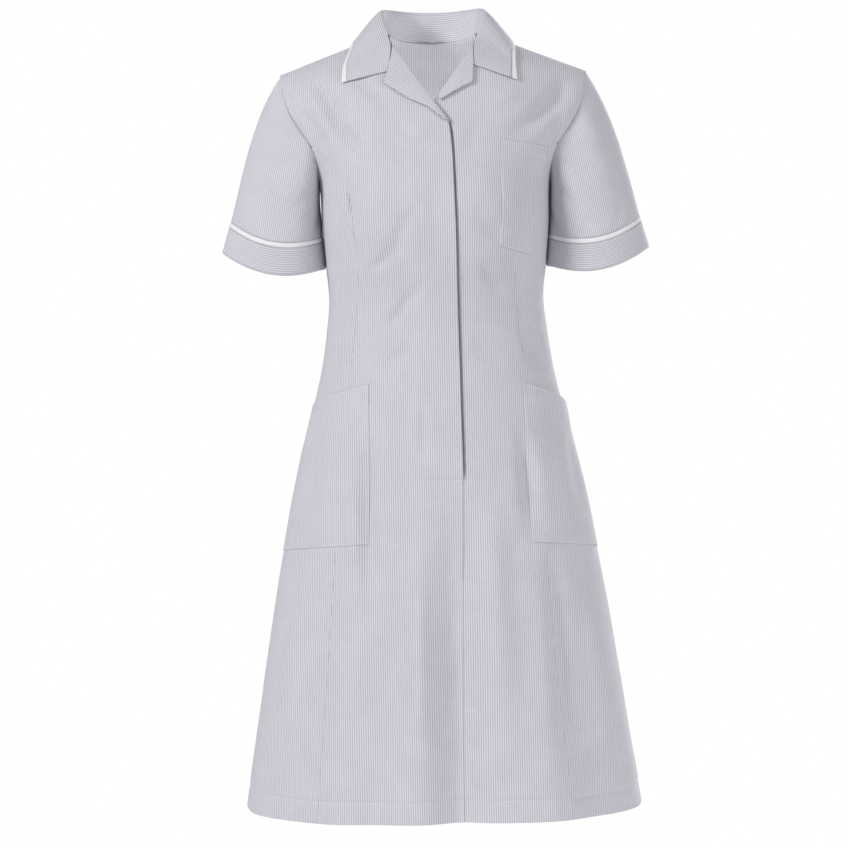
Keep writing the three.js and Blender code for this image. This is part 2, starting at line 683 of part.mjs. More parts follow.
function chestPocket() {
  const { left, right, top, bottom, belly } = CHEST_POCKET;
  const pointAt = (down, out) => {
    const z = mix(mix(top[0], top[1], out), mix(bottom[0], bottom[1], out), down);
    const x = mix(mix(left[0], left[1], down), mix(right[0], right[1], down), out);
    return onPanel(x - belly * 4 * down * (1 - down) * out, z, WALL + LAY_GAP + CHEST_POCKET.swell);
  };
  return patch(pointAt, steps(0, 1, 8), steps(0, 1, 5), WALL, 1);
}

const dress = new THREE.Group();
dress.name = "nurse_uniform_dress";
dress.add(
  cloth("front_right", [centreFront(RIGHT, overEdge, flyLift)]),
  cloth("front_left", [centreFront(LEFT, underEdge)]),
  cloth("side_front_right", [sideFront(RIGHT)]),
  cloth("side_front_left", [sideFront(LEFT)]),
  cloth("back", [backHalf(RIGHT), backHalf(LEFT)]),
  cloth("sleeve_right", [sleeve(RIGHT)]),
  cloth("sleeve_left", [sleeve(LEFT)]),
  cloth("cuff_piping_right", [cuffPiping(RIGHT)], WHITE),
  cloth("cuff_piping_left", [cuffPiping(LEFT)], WHITE),
  cloth("cuff_right", [cuff(RIGHT)]),
  cloth("cuff_left", [cuff(LEFT)]),
  cloth("collar", [...collarPatches(RIGHT), ...collarPatches(LEFT)]),
  cloth("collar_trim", [collarTrimPatch(RIGHT), collarTrimPatch(LEFT)], WHITE),
  cloth("lapel_right", [lapel(OVER_LAPEL)]),
  cloth("lapel_left", [lapel(UNDER_LAPEL)]),
  cloth("hip_pocket_right", [hipPocket(RIGHT)]),
  cloth("hip_pocket_left", [hipPocket(LEFT)]),
  cloth("chest_pocket", [chestPocket()]),
);
dress.updateMatrixWorld(true);

export default dress;
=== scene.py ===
"""A nurse's dress in fine striped cloth: its panels, sleeves, collar, lapels and pockets as thin shells on the
forms of their solids, with creases, seams, stitches and piping, and the light and camera that show it."""
import bpy
import math
import numpy as np
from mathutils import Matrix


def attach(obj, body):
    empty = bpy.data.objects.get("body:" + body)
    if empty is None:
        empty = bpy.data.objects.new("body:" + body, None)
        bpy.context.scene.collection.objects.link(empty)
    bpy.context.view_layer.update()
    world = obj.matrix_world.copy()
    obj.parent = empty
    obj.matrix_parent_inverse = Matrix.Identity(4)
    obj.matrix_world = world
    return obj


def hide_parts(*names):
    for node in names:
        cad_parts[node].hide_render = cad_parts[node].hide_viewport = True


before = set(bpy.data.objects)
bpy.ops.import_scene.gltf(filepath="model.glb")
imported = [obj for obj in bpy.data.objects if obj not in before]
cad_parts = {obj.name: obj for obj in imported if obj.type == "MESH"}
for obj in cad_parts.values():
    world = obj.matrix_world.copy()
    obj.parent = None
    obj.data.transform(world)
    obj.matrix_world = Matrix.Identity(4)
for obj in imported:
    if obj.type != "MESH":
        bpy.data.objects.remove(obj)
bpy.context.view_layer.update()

# -------- sizes, in millimetres, +Z up, -Y the front

MM = 0.001
WALL = 0.9            # one layer of cloth
FACED_WALL = 1.5      # collar, lapels and cuffs: two layers
SEAM_GAP = 0.03       # between two panels at a seam
UNDERARM, HEM, FLY_END = -200.0, -1009.0, -583.0
NECK_HALF, SHOULDER_SLOPE = 58.0, 0.383
FRONT_ROUND, BACK_ROUND = 85.0, 60.0
BACK_NECK_DROP = 7.0
HEM_DEPTH = 26.5      # of the hem, turned up inside
HEM_FOLD = 2.2        # across the fold, from face to face
HEM_ROUND = ((0, 0.8, 2.2), (0.45, 0.85, 1))   # heights over the fold, and the share of its width there
SIDE_HEM = 9.0        # how much higher the hem hangs at the side seams
ROUND = 2.2           # exponent of the rings
RIGHT, LEFT = -1, 1   # the wearer's sides


def table(columns, *rows):
    """Rows of values under the names of their columns."""
    return [dict(zip(columns.split(), row)) for row in rows]


# The rings of the dress: half width, depth to the front and depth to the back at each height
FORM = table(
    "z half front back",
    (40, 238, 48, 62), (0, 232, 60, 74), (-50, 222, 76, 92), (-100, 209, 90, 101), (-130, 190, 97, 104),
    (-150, 176, 102, 105), (-175, 159, 108, 105), (-200, 150, 112, 104), (-250, 147.5, 116, 99),
    (-300, 143, 112, 91), (-345, 139, 104, 85), (-390, 143, 100, 84), (-430, 149, 102, 90),
    (-480, 160, 106, 101), (-540, 176, 112, 112), (-600, 190, 119, 122), (-680, 205, 128, 134),
    (-760, 219, 138, 145), (-850, 233, 149, 157), (-930, 245, 160, 168), (HEM, 256, 170, 178))
BUST = dict(x=80, z=-238, wide=58, tall=72, rise=13)

# Soft folds of the skirt: degrees round from centre front, half width in degrees, how far each stands out at
# the hem (in, below zero) and the height where it begins
FOLDS = table(
    "at wide rise start",
    (-68, 9, 4, -560), (-47, 8, -3, -640), (-30, 8, 5, -520), (-18, 5, -3, -600), (-9, 5, 3, -560),
    (7, 8, -8, -580), (30, 9, 6, -540), (48, 8, -5, -600), (70, 9, 4, -620), (103, 9, -4, -640),
    (122, 9, 6, -560), (143, 8, -6, -600), (163, 9, 7, -540), (-174, 8, -8, -520), (-152, 9, 6, -580),
    (-131, 8, -5, -620), (-108, 9, 5, -570))

# Creases, each along a line from one point to another as seen from the front or the back: half width,
# depth (a trough below zero, a ridge above), which the gain multiplies, and how far its middle bows sideways
CREASE_GAIN = 2.3
CREASE = "x0 z0 x1 z1 wide deep bow"
FRONT_CREASES = table(
    CREASE,
    (-160, -58, -98, -128, 10, -3.4, 5), (-142, -88, -80, -176, 9, -3.2, 6), (-118, -70, -60, -118, 10, 1.6, 0),
    (-172, -100, -140, -165, 7, -1.6, -4), (-52, -122, -22, -150, 6, -1.5, 0),
    (178, -62, 112, -140, 14, -3.2, -6), (150, -92, 84, -150, 11, -2, -6), (172, -105, 142, -172, 7, -1.6, 4),
    (120, -78, 62, -110, 11, 1.8, 0), (66, -120, 38, -176, 10, -1.2, 4),
    (-128, -215, -98, -330, 8, -2, -3), (-106, -205, -101, -258, 5, -2, 0),
    (-70, -390, -18, -322, 9, -1.8, 5), (-88, -318, -24, -252, 10, -1.8, 6), (-60, -282, -20, -222, 9, -1.2, 4),
    (-74, -436, -20, -402, 10, -1.2, 3), (52, -300, 96, -352, 9, -1.5, 4), (110, -362, 142, -452, 7, -2.4, 3),
    (104, -372, 128, -452, 6, -2, 2), (44, -232, 92, -282, 12, -1.3, 4), (40, -402, 96, -432, 11, -1, 3),
    (-92, -490, -88, -770, 12, -3.8, 3), (-102, -560, -108, -760, 16, 2, 0), (-18, -470, -16, -572, 6, -2.2, 2),
    (16, -560, 24, -1330, 27, -7.0, 2), (65, -590, 73, -960, 22, 3.2, 0), (102, -505, 118, -680, 12, -3, -3),
    (137, -650, 159, -985, 15, -3.4, -4), (-51, -700, -59, -1000, 18, -2, 3),
    (-28, -650, -32, -980, 14, 3.2, 0), (-140, -700, -166, -990, 17, -2, 3),
    (-177, -690, -205, -980, 15, 1.8, 0), (186, -700, 216, -990, 16, 2, 0),
    (-154, -500, -166, -640, 10, -1.6, 2), (164, -510, 182, -650, 10, -1.8, -2), (34, -640, 31, -730, 6, -1, 0),
    (22, -905, 60, -925, 8, -0.9, 2), (24, -860, 52, -872, 7, -0.8, 2), (20, -955, 64, -982, 8, -0.9, 3))
BACK_CREASES = table(
    CREASE,
    (-170, -75, -110, -160, 12, -2.6, 5), (-150, -130, -96, -236, 12, -2, 5),
    (168, -70, 104, -170, 12, -2.8, -6), (142, -140, 100, -226, 11, -1.8, -5),
    (-60, -30, 62, -34, 12, -1.2, -6), (-120, -330, -30, -352, 9, -2.2, -6),
    (-112, -372, -20, -366, 8, -1.8, 5), (122, -322, 26, -346, 9, -2.2, 6),
    (104, -372, 12, -380, 8, -1.6, -5), (-84, -300, -16, -318, 10, -1.4, -5),
    (90, -290, 24, -312, 10, -1.4, 5), (-96, -420, -110, -620, 12, -2.2, 3),
    (88, -430, 104, -640, 12, -2.2, -3), (-30, -450, -40, -760, 16, 2.4, 0),
    (30, -520, 44, -900, 16, -2.8, 4), (-120, -700, -140, -990, 16, -2.6, 4),
    (140, -680, 168, -990, 15, -2.6, -4), (4, -120, -2, -260, 16, -1.6, 2),
    (-70, -160, -60, -280, 14, 1.4, 0), (74, -170, 60, -290, 14, 1.4, 0))

# Edges and seams: x at each height
OVER_EDGE = table("z x", (0, -58), (-19, -52), (-68, -22), (-98, -0.5), (-112, 9.5), (-127, 18), (-148, 21),
                  (-200, 23), (-350, 26), (-480, 28), (FLY_END, 29.5), (-760, 27), (HEM, 25))
UNDER_EDGE = table("z x", (0, 58), (-19, 52), (-68, 22), (-98, 0), (-115, -11), (-137, -15), (HEM, -15))
FRONT_ARMHOLE = table("z x", (-54, 199), (-76, 194.5), (-105, 186.5), (-128, 173.5), (-150, 159),
                      (-170, 151.5), (-185, 150), (UNDERARM, 150))
BACK_ARMHOLE = table("z x", (-54, 199), (-80, 191), (-110, 184), (-140, 176), (-165, 165), (-185, 154.5),
                     (UNDERARM, 150))
PRINCESS = table("z x", (-150, 159), (-172, 134), (-195, 117), (-225, 106), (-260, 100), (-300, 98),
                 (-345, 100), (-400, 106), (-447, 112), (-540, 122), (-700, 136), (-850, 149), (HEM, 160))
FLY = dict(width=46, rise=3.3, closed=1.2, fade=24, starts=-50, full=-92)
FLY_GROOVE = dict(deep=4.8, wide=1.9, off=0.1, starts=-105, full=-135, ends=FLY_END + 5, fade=10)

SLEEVE = dict(hem_x=210.3, hem_z=-295, hem_half=67.1, hem_tilt=11, hem_depth=54, front_drop=20, back_drop=7,
              tuck=1.1, lean=-0.178)
SLEEVE_LEAVES = np.array([(0.55, 0, -0.78), (0.36, -0.24, -0.87), (0, 0, -1), (0.36, 0.24, -0.87)])
SLEEVE_ARRIVES = np.array([(0.3, 0, -0.95), (0.1, 0, -1), (-0.06, 0, -1), (0.1, 0, -1)])
CUFF, PIPING, COLLAR_TRIM = 35.0, 6.5, 7.6

# The collar's rows from centre back round to the notch: x of the neck seam, the top of the roll, the outer
# edge and its height over the panel; then the end beyond the stand, along the gorge
COLLAR = table(
    "seam_x roll edge lift on",
    (0, (0, 60, 32.5), (0, -27), 3, "back"), (22, (26, 56, 33), (34, -26), 3, "back"),
    (42, (50, 39, 33.5), (67, -23), 4.5, "back"), (54, (63, 18, 32), (92, -19), 5.5, "back"),
    (58, (66.5, 0, 27), (104, -18), 5.5, "seam"), (57.2, (65.5, -13, 18), (107, -30), 6, "front"),
    (55.6, (62, -24, 6), (109, -42), 5, "front"), (54.2, (57.5, -33, -7), (110.5, -52), 4, "front"))
COLLAR_END = [dict(gorge={RIGHT: (54, -24), LEFT: (53.2, -21)}, edge=(111, -59), lift=4.2),
              dict(gorge={RIGHT: (55, -41), LEFT: (51.8, -36)}, edge=(111.3, -65), lift=4.6),
              dict(gorge={RIGHT: (55.5, -57.5), LEFT: (50, -50)}, edge=(111.5, -71), lift=5.2)]
GORGE_LIFT, ROLL_REACH, COLLAR_SHIFT = 3.2, 26.0, -5.0
STAND_TUCK = 0.9      # how far the stand's seam lies under the top edge of the panels
NECK_SLOPE = OVER_EDGE[1]["z"] / (RIGHT * OVER_EDGE[1]["x"] - NECK_HALF)   # of the front neck beside the seam
STAND_ROWS = len(COLLAR) - 1
COLLAR_ROWS = STAND_ROWS + len(COLLAR_END)

OVER_LAPEL = dict(side=RIGHT, roll=[(-51.8, -21.5), (-24.5, -64), (-1, -98), (17.5, -124)],
                  edge=[(-63.5, -74), (-31, -95.5), (-5.5, -107.5), (15, -124)], bend=1.8)
UNDER_LAPEL = dict(side=LEFT, roll=[(51.8, -21.5), (35, -48), (20.5, -70), (5.5, -91)],
                   edge=[(49.5, -74.5), (36, -80.5), (20.5, -89.5), (7, -97)], bend=-0.4)
LAPEL = dict(roll_lift=2.3, edge_lift=4.2, belly=1.6)

HIP_POCKET = dict(top=(-457, -484), bottom=(-661, -671), inner={RIGHT: (-88, -92), LEFT: (107, 117)},
                  gape={RIGHT: 0.5, LEFT: 4}, lift=1.1, belly=1.6)
CHEST_POCKET = dict(left=(83, 77), right=(146, 117), top=(-148.5, -157), bottom=(-285.5, -296), bulge=5,
                    lift=1.2, belly=1.2)


# -------- curves

def mix(a, b, t):
    return a + (b - a) * t


def ease(t):
    t = np.clip(t, 0, 1)
    return t * t * (3 - 2 * t)


def bell(t):
    return np.exp(-t * t)


def hermite(start, leave, end, arrive, t):
    s = 1 - t
    return start * s * s * (1 + 2 * t) + leave * t * s * s + end * t * t * (3 - 2 * t) - arrive * t * t * s


def curve(rows, column, z):
    """A column of a table whose rows run down in z, as a smooth curve."""
    heights = np.array([row["z"] for row in rows], float)
    values = np.array([row[column] for row in rows], float)
    slopes = np.empty_like(values)
    slopes[1:-1] = (values[2:] - values[:-2]) / (heights[2:] - heights[:-2])
    slopes[0] = (values[1] - values[0]) / (heights[1] - heights[0])
    slopes[-1] = (values[-1] - values[-2]) / (heights[-1] - heights[-2])
    i = np.clip(np.searchsorted(-heights, -z, side="right") - 1, 0, len(heights) - 2)
    span = heights[i + 1] - heights[i]
    t = np.clip((z - heights[i]) / span, 0, 1)
    return hermite(values[i], slopes[i] * span, values[i + 1], slopes[i + 1] * span, t)


def steps(a, b, count):
    return np.linspace(a, b, count + 1)


def unit(way):
    return way / np.linalg.norm(way, axis=-1, keepdims=True)


def lengths(line):
    """Distances of a line's points from its start, along it."""
    return np.concatenate([[0], np.cumsum(np.linalg.norm(np.diff(line, axis=0), axis=1))])


def at_distance(line, distance, values=None):
    """Points of a line, or values given with them, at distances along it."""
    values = line if values is None else values
    return np.stack([np.interp(distance, lengths(line), values[:, axis]) for axis in range(3)], axis=-1)


def with_edges(shares, width, near=(0.4, 0.9, 1.6, 4.0)):
    """Shares from 0 to 1 with closer ones beside both ends, for edges that turn under."""
    close = np.array(near) / width
    inner = shares[(shares > close[-1] * 1.5) & (shares < 1 - close[-1] * 1.5)]
    return np.concatenate([[0], close, inner, 1 - close[::-1], [1]])


# -------- the form of the dress

def shoulder_height(x):
    return -(np.abs(x) - NECK_HALF) * SHOULDER_SLOPE


def back_neck_height(x):
    return BACK_NECK_DROP * ((x / NECK_HALF) ** 4 - 1)


def fold_rise(turn, z):
    degrees = np.degrees(turn)
    rise = np.zeros_like(degrees + z)
    for fold in FOLDS:
        around = np.abs((degrees - fold["at"] + 540) % 360 - 180)
        rise += fold["rise"] * bell(around / fold["wide"]) * ease((z - fold["start"]) / (HEM - fold["start"]))
    return rise


def crease_form(across, t):
    """A soft trough or ridge, with a slight swell on both sides and ends that die away."""
    return ease(t / 0.35) * ease((1 - t) / 0.45) * (1.35 * bell(across) - 0.35 * bell(across / 2))


def along_crease(x, z, x0, z0, x1, z1):
    """The share of the way along a line, and the distance off it."""
    along_x, along_z = x1 - x0, z1 - z0
    length = math.hypot(along_x, along_z)
    t = ((x - x0) * along_x + (z - z0) * along_z) / length ** 2
    return t, ((x - x0) * along_z - (z - z0) * along_x) / length


def crease_rise(creases, x, z):
    rise = np.zeros_like(x + z)
    for crease in creases:
        t, off = along_crease(x, z, *(crease[name] for name in CREASE.split()[:4]))
        off = off - crease["bow"] * 4 * t * (1 - t)
        wide = crease["wide"] * (0.75 + 0.5 * np.clip(t, 0, 1))
        rise += CREASE_GAIN * crease["deep"] * crease_form(off / wide, t)
    return rise


def unevenness(x, z):
    """The slight waviness of pressed cloth that has been put on."""
    return (0.35 * np.sin(x / 17 + 1.3 * np.sin(z / 61)) * np.sin(z / 43 + 0.8 * np.sin(x / 29))
            + 0.22 * np.sin(x / 9.3 + z / 37) * np.sin(z / 23 - x / 41))


def hem_puckers(x, z):
    """The stitches of the hem draw it in, and it ripples a little between them and the fold."""
    above = z - HEM
    ripple = 0.42 * np.sin(x / 4.7 + 1.7 * np.sin(x / 31)) * (1 + 0.5 * np.sin(x / 19))
    return ripple * bell((above - 17) / 15) - 1.1 * bell((above - HEM_DEPTH) / 2.2)


def shoulder_closing(x, z, in_front):
    below = np.clip((shoulder_height(x) - z) / np.where(in_front, FRONT_ROUND, BACK_ROUND), 0, 1)
    return np.sqrt(1 - (1 - below) ** 2)


def ring(turn, z):
    """x and y of the plain rings, and the two shares of their half width and depth."""
    in_front = np.abs(turn) <= math.pi / 2
    half = curve(FORM, "half", z)
    depth = np.where(in_front, curve(FORM, "front", z), curve(FORM, "back", z))
    across = np.sign(np.sin(turn)) * np.abs(np.sin(turn)) ** (2 / ROUND)
    along = np.where(in_front, -1, 1) * np.abs(np.cos(turn)) ** (2 / ROUND)
    return in_front, half, depth, across, along


def on_form(turn, z, lift=0.0):
    """Points of the form: turn is the angle round from centre front towards +X, lift is outwards."""
    turn, z = np.broadcast_arrays(np.asarray(turn, float), np.asarray(z, float))
    in_front, half, depth, across, along = ring(turn, z)
    x = half * across
    y = depth * along * shoulder_closing(x, z, in_front)
    out_x = np.sign(across) * np.abs(across) ** (ROUND - 1) / half
    out_y = np.sign(along) * np.abs(along) ** (ROUND - 1) / depth
    size = np.hypot(out_x, out_y)
    rise = fold_rise(turn, z) + lift + unevenness(x, z + 37 * (along > 0))
    bust = BUST["rise"] * bell((np.abs(x) - BUST["x"]) / BUST["wide"]) * bell((z - BUST["z"]) / BUST["tall"])
    rise = rise + np.where(in_front, bust * np.abs(along), 0)
    fade = ease(np.abs(along) / 0.35)
    rise = rise + fade * np.where(in_front, crease_rise(FRONT_CREASES, x, z), crease_rise(BACK_CREASES, x, z))
    rise = rise + hem_puckers(x, z)
    z = z + SIDE_HEM * np.abs(across) ** 8 * ease((HEM + 150 - z) / 150)
    return np.stack([x + rise * out_x / size, y + rise * out_y / size, z], axis=-1)


def turn_at(x, z, behind=False):
    share = np.minimum(1, np.abs(x) / curve(FORM, "half", z))
    turn = np.arcsin(share ** (ROUND / 2))
    return np.where(x < 0, -1, 1) * (math.pi - turn if behind else turn)


def on_panel(x, z, lift=0.0, behind=False):
    x, z = np.broadcast_arrays(np.asarray(x, float), np.asarray(z, float))
    return on_form(turn_at(x, z, behind), z, lift)


def cloth_across(turn, z):
    """Distance round the plain ring from centre front: the cloth's own width there."""
    samples = np.linspace(0, 1, 25)
    turns = np.asarray(turn)[..., None] * samples
    _, half, depth, across, along = ring(turns, np.asarray(z, float)[..., None] + 0 * turns)
    return np.sign(turn) * np.sum(np.hypot(np.diff(half * across), np.diff(depth * along)), axis=-1)


# -------- levels, which climb to the shoulder seam

SHOULDER_LEVEL, NECK_LEVEL, PRINCESS_LEVEL = -0.4, -66.03, -162.0
ROW = 4.2             # height of a row of the shells


def height_on(level, x):
    share = 1 - np.cos(np.clip(level / UNDERARM, 0, 1) * math.pi / 2)
    return np.where(level <= UNDERARM, level, mix(shoulder_height(x), UNDERARM, share))


def meet(level, edge_x):
    """x and height where a level meets an edge given as x over height."""
    x = edge_x(level)
    for _ in range(14):
        x = edge_x(height_on(level, x))
    return x, height_on(level, x)


def on_level(turn, level, lift=None):
    z = np.broadcast_to(level, np.broadcast(turn, level).shape).astype(float)
    for _ in range(14):
        _, half, _, across, _ = ring(turn, z)
        z = height_on(level, half * across)
    return turn, z, on_form(turn, z, 0 if lift is None else lift(turn, z))


def levels_from(top):
    upper = [SHOULDER_LEVEL, -2, -5, -9, -14] if top == SHOULDER_LEVEL else [top]
    middle = steps(-20 if top == SHOULDER_LEVEL else top, UNDERARM, int((UNDERARM - top) / -ROW))
    lower = steps(UNDERARM, HEM, int((UNDERARM - HEM) / ROW))
    neck = [NECK_LEVEL] if top == SHOULDER_LEVEL else []
    hem = HEM + np.array([0.8, 2, HEM_DEPTH - 1.8, HEM_DEPTH, HEM_DEPTH + 1.8])
    return -np.unique(-np.concatenate([upper, middle, lower, neck, hem]))[:, None]


# -------- making shells

def newest():
    return bpy.context.view_layer.objects.active


def grid_patch(points, flat):
    """A grid as big as the points, moved to them, with the flat cut in metres as its UV map."""
    rows, columns = points.shape[:2]
    bpy.ops.object.select_all(action="DESELECT")
    bpy.ops.mesh.primitive_grid_add(x_subdivisions=columns - 1, y_subdivisions=rows - 1, size=1)
    mesh = newest().data
    mesh.vertices.foreach_set("co", (points * MM).ravel())
    corner = np.empty(len(mesh.loops), int)
    mesh.loops.foreach_get("vertex_index", corner)
    layer = mesh.uv_layers.active
    layer.name = "cut"
    layer.data.foreach_set("uv", (flat.reshape(-1, 2)[corner] * MM).ravel())
    mesh.update()
    return newest()


def apply(piece, kind, **settings):
    modifier = piece.modifiers.new(kind.lower(), kind)
    for name, value in settings.items():
        setattr(modifier, name, value)
    bpy.context.view_layer.objects.active = piece
    bpy.ops.object.modifier_apply(modifier=modifier.name)


# How an edge turns under: over what width, and how deep
SEAM_TURN = dict(reach=1.4, depth=0.12)
EDGE_TURN = dict(reach=1.2, depth=0.6)
TRIM_TURN = dict(reach=1.2, depth=0.4)
CUFF_TURN = dict(reach=2.4, depth=1.1)


def inside_way(points, side):
    """The way to the inside at each point of a grid, as turn_under has its side."""
    inside = side * np.cross(np.gradient(points, axis=1), np.gradient(points, axis=0))
    return inside / np.maximum(np.linalg.norm(inside, axis=-1, keepdims=True), 1e-9)


def turn_under(points, side, edges, reach=SEAM_TURN["reach"], depth=SEAM_TURN["depth"]):
    """Roll the named edges of a grid inwards, as a seam or a fold pulls them. The grid's rows run down, and its
    columns run towards +X seen from outside where side is 1, and the other way where it is -1."""
    along_rows = np.cumsum(np.linalg.norm(np.diff(points, axis=1, prepend=points[:, :1]), axis=-1), axis=1)
    along_columns = np.cumsum(np.linalg.norm(np.diff(points, axis=0, prepend=points[:1]), axis=-1), axis=0)
    distance = {"first": along_rows, "last": along_rows[:, -1:] - along_rows,
                "top": along_columns, "bottom": along_columns[-1:] - along_columns}
    inward = np.zeros(points.shape[:2])
    for name in edges:
        close = np.clip(1 - distance[name] / reach, 0, 1)
        inward = np.maximum(inward, depth * (1 - np.sqrt(1 - close ** 2)))
    return points + inside_way(points, side) * inward[..., None]


def shell(name, patches, wall, finish):
    """One piece of cloth from patches that share edges: points, flat cut and side, as turn_under has it."""
    parts = []
    for points, flat, side in patches:
        if side > 0:
            points, flat = points[:, ::-1], flat[:, ::-1]
        parts.append(grid_patch(points, flat))
    bpy.ops.object.select_all(action="DESELECT")
    for part in parts:
        part.select_set(True)
    bpy.context.view_layer.objects.active = parts[0]
    if len(parts) > 1:
        bpy.ops.object.join()
    piece = newest()
    piece.name = piece.data.name = name
    bpy.ops.object.mode_set(mode="EDIT")
    bpy.ops.mesh.select_all(action="SELECT")
    bpy.ops.mesh.remove_doubles(threshold=2e-6)
    bpy.ops.object.mode_set(mode="OBJECT")
    apply(piece, "SOLIDIFY", thickness=wall * MM, offset=-1, use_quality_normals=True)
    bpy.ops.object.shade_smooth()
    piece.data.materials.clear()
    piece.data.materials.append(finish)
    return piece


def place(piece, node, slot):
    """The piece rides on the dress and stands for its solid."""
    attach(piece, "root")
    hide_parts(node)
    return piece


# -------- panels of the body

SIDE_GRAIN = 125.0    # x of the grain line of the side fronts on the skirt
FRONT_COLUMNS, SIDE_COLUMNS, BACK_COLUMNS = steps(0, 1, 34), steps(0, 1, 24), steps(0, 1, 44)
SLIT = 0.3            # share of the columns of the panel beneath that lie before the open edge of the fly
UNDER_COLUMNS = np.concatenate([steps(0, SLIT - 0.035, 8), steps(SLIT - 0.035, SLIT + 0.055, 16)[1:],
                                steps(SLIT + 0.055, 1, 20)[1:]])


def princess(z):
    return np.where(z > PRINCESS[0]["z"], curve(FRONT_ARMHOLE, "x", z), curve(PRINCESS, "x", z))


def over_edge(z):
    return curve(OVER_EDGE, "x", z)


def under_edge(z):
    return curve(UNDER_EDGE, "x", z)


def fly_lift(turn, z):
    """How far the lapped front stands out, across its fly and back to the panel beside it."""
    _, half, _, across, _ = ring(turn, z)
    in_from_edge = over_edge(z) - half * across
    started = ease((z - FLY["starts"]) / (FLY["full"] - FLY["starts"]))
    rise = mix(FLY["rise"], FLY["closed"], ease((FLY_END - z) / 10 + 1))
    return rise * started * (1 - ease((in_from_edge - FLY["width"]) / FLY["fade"]))


def under_fly(turn, z):
    """The panel beneath sinks along the open edge of the fly."""
    _, half, _, across, _ = ring(turn, z)
    g = FLY_GROOVE
    sunk = ease((g["starts"] - z) / (g["starts"] - g["full"])) * (1 - ease((g["ends"] - z) / g["fade"] + 1))
    return -g["deep"] * sunk * bell((half * across - over_edge(z) - g["off"]) / g["wide"])


def panel_patch(levels, start, end, shares, grain, lift=None):
    """Rows of a panel between two turns at each level, and its flat cut either side of a grain line."""
    turn, z, points = on_level(mix(start, end, shares), levels, lift)
    return points, np.stack([cloth_across(turn, z) - grain(z), -z], axis=-1)


def hemmed(points, flat, side):
    """The panel with its hem turned up inside, over the last rows of the grid."""
    rows = np.flatnonzero(-flat[:, 0, 1] <= HEM + HEM_DEPTH)[::-1]
    fold = np.interp(-flat[rows, :, 1] - HEM, *HEM_ROUND)[..., None]
    turned = points[rows] + inside_way(points, side)[rows] * HEM_FOLD * fold
    lengthened = 2 * HEM + flat[rows, :, 1]
    turned_flat = np.stack([flat[rows, :, 0], -lengthened], axis=-1)
    return np.concatenate([points, turned]), np.concatenate([flat, turned_flat]), side


def centre_front(side, edge, columns, lift):
    levels = levels_from(SHOULDER_LEVEL)
    start = turn_at(*meet(levels, edge))
    end = turn_at(*meet(levels, lambda z: side * (princess(z) - SEAM_GAP / 2)))
    shares = with_edges(columns, 120)[None, :]
    if edge is under_edge:
        slit = np.clip((turn_at(over_edge(levels), levels) - start) / (end - start), 0.1, 0.45)
        shares = np.where(shares < SLIT, shares / SLIT * slit, mix(slit, 1, (shares - SLIT) / (1 - SLIT)))
    points, flat = panel_patch(levels, start, end, shares, lambda z: 0, lift)
    points = turn_under(points, side, ["last"])
    points = turn_under(points, side, ["first"], **EDGE_TURN)
    return hemmed(points, flat, side)


def side_seam(side, depth):
    return side * np.arccos((SEAM_GAP / 2 / depth) ** (ROUND / 2))


def side_front(side):
    levels = levels_from(PRINCESS_LEVEL)
    start = turn_at(*meet(levels, lambda z: side * (princess(z) + SEAM_GAP / 2)))
    armhole = turn_at(*meet(levels, lambda z: side * curve(FRONT_ARMHOLE, "x", z)))
    seam = side_seam(side, curve(FORM, "front", levels))
    end = np.where(levels > UNDERARM, side * np.minimum(np.abs(armhole), np.abs(seam)), seam)

    def middle(z):
        x = np.minimum(SIDE_GRAIN, mix(princess(z), curve(FORM, "half", z), 0.5))
        return cloth_across(turn_at(side * x, z), z)

    points, flat = panel_patch(levels, start, end, with_edges(SIDE_COLUMNS, 75)[None, :], middle)
    points = turn_under(points, side, ["first", "last"])
    return hemmed(points, flat, side)


def back_half(side):
    levels = levels_from(SHOULDER_LEVEL)
    inner = np.where(levels > UNDERARM, NECK_HALF, 0.0)
    for _ in range(120):
        over = height_on(levels, inner) - back_neck_height(inner)
        inner = np.clip(inner + 0.03 * NECK_HALF * over, 0, NECK_HALF)
    inner = np.where(levels > NECK_LEVEL, inner, 0)
    start = side * turn_at(inner, height_on(levels, inner), True)
    armhole = turn_at(*meet(levels, lambda z: side * curve(BACK_ARMHOLE, "x", z)), True)
    seam = side * (math.pi - np.abs(side_seam(side, curve(FORM, "back", levels))))
    end = np.where(levels > UNDERARM, side * np.maximum(np.abs(armhole), np.abs(seam)), seam)
    shares = np.concatenate([BACK_COLUMNS[:-2], 1 - np.array([8, 4.5, 2.6, 1.4, 0.6]) / 200, [1]])
    turn, z, points = on_level(mix(start, end, shares[None, :]), levels)
    flat_x = side * (cloth_across(np.full_like(turn, math.pi), z) - cloth_across(np.abs(turn), z))
    points = turn_under(points, -side, ["last"])
    points, flat, side = hemmed(points, np.stack([flat_x, -z], axis=-1), -side)
    points[len(levels) - np.sum(levels <= NECK_LEVEL):, 0, 0] = 0
    return points, flat, side


# -------- sleeves and cuffs

def armhole_line():
    """The armhole as two lines from the shoulder to the underarm, in front and behind."""
    top = FRONT_ARMHOLE[0]["z"]
    z = mix(top, UNDERARM, (1 - np.cos(math.pi * steps(0, 1, 120))) / 2)
    lines = []
    for edge, behind in ((FRONT_ARMHOLE, False), (BACK_ARMHOLE, True)):
        line = on_form(turn_at(curve(edge, "x", z), z, behind), z)
        line[[0, -1], 1] = 0
        lines.append(line)
    ends = (lines[0][[0, -1]] + lines[1][[0, -1]]) / 2
    for line in lines:
        line[[0, -1]] = ends
    return lines


ARMHOLE_LINES = armhole_line()
ARMHOLE_MIDDLE = np.concatenate(ARMHOLE_LINES).mean(axis=0)


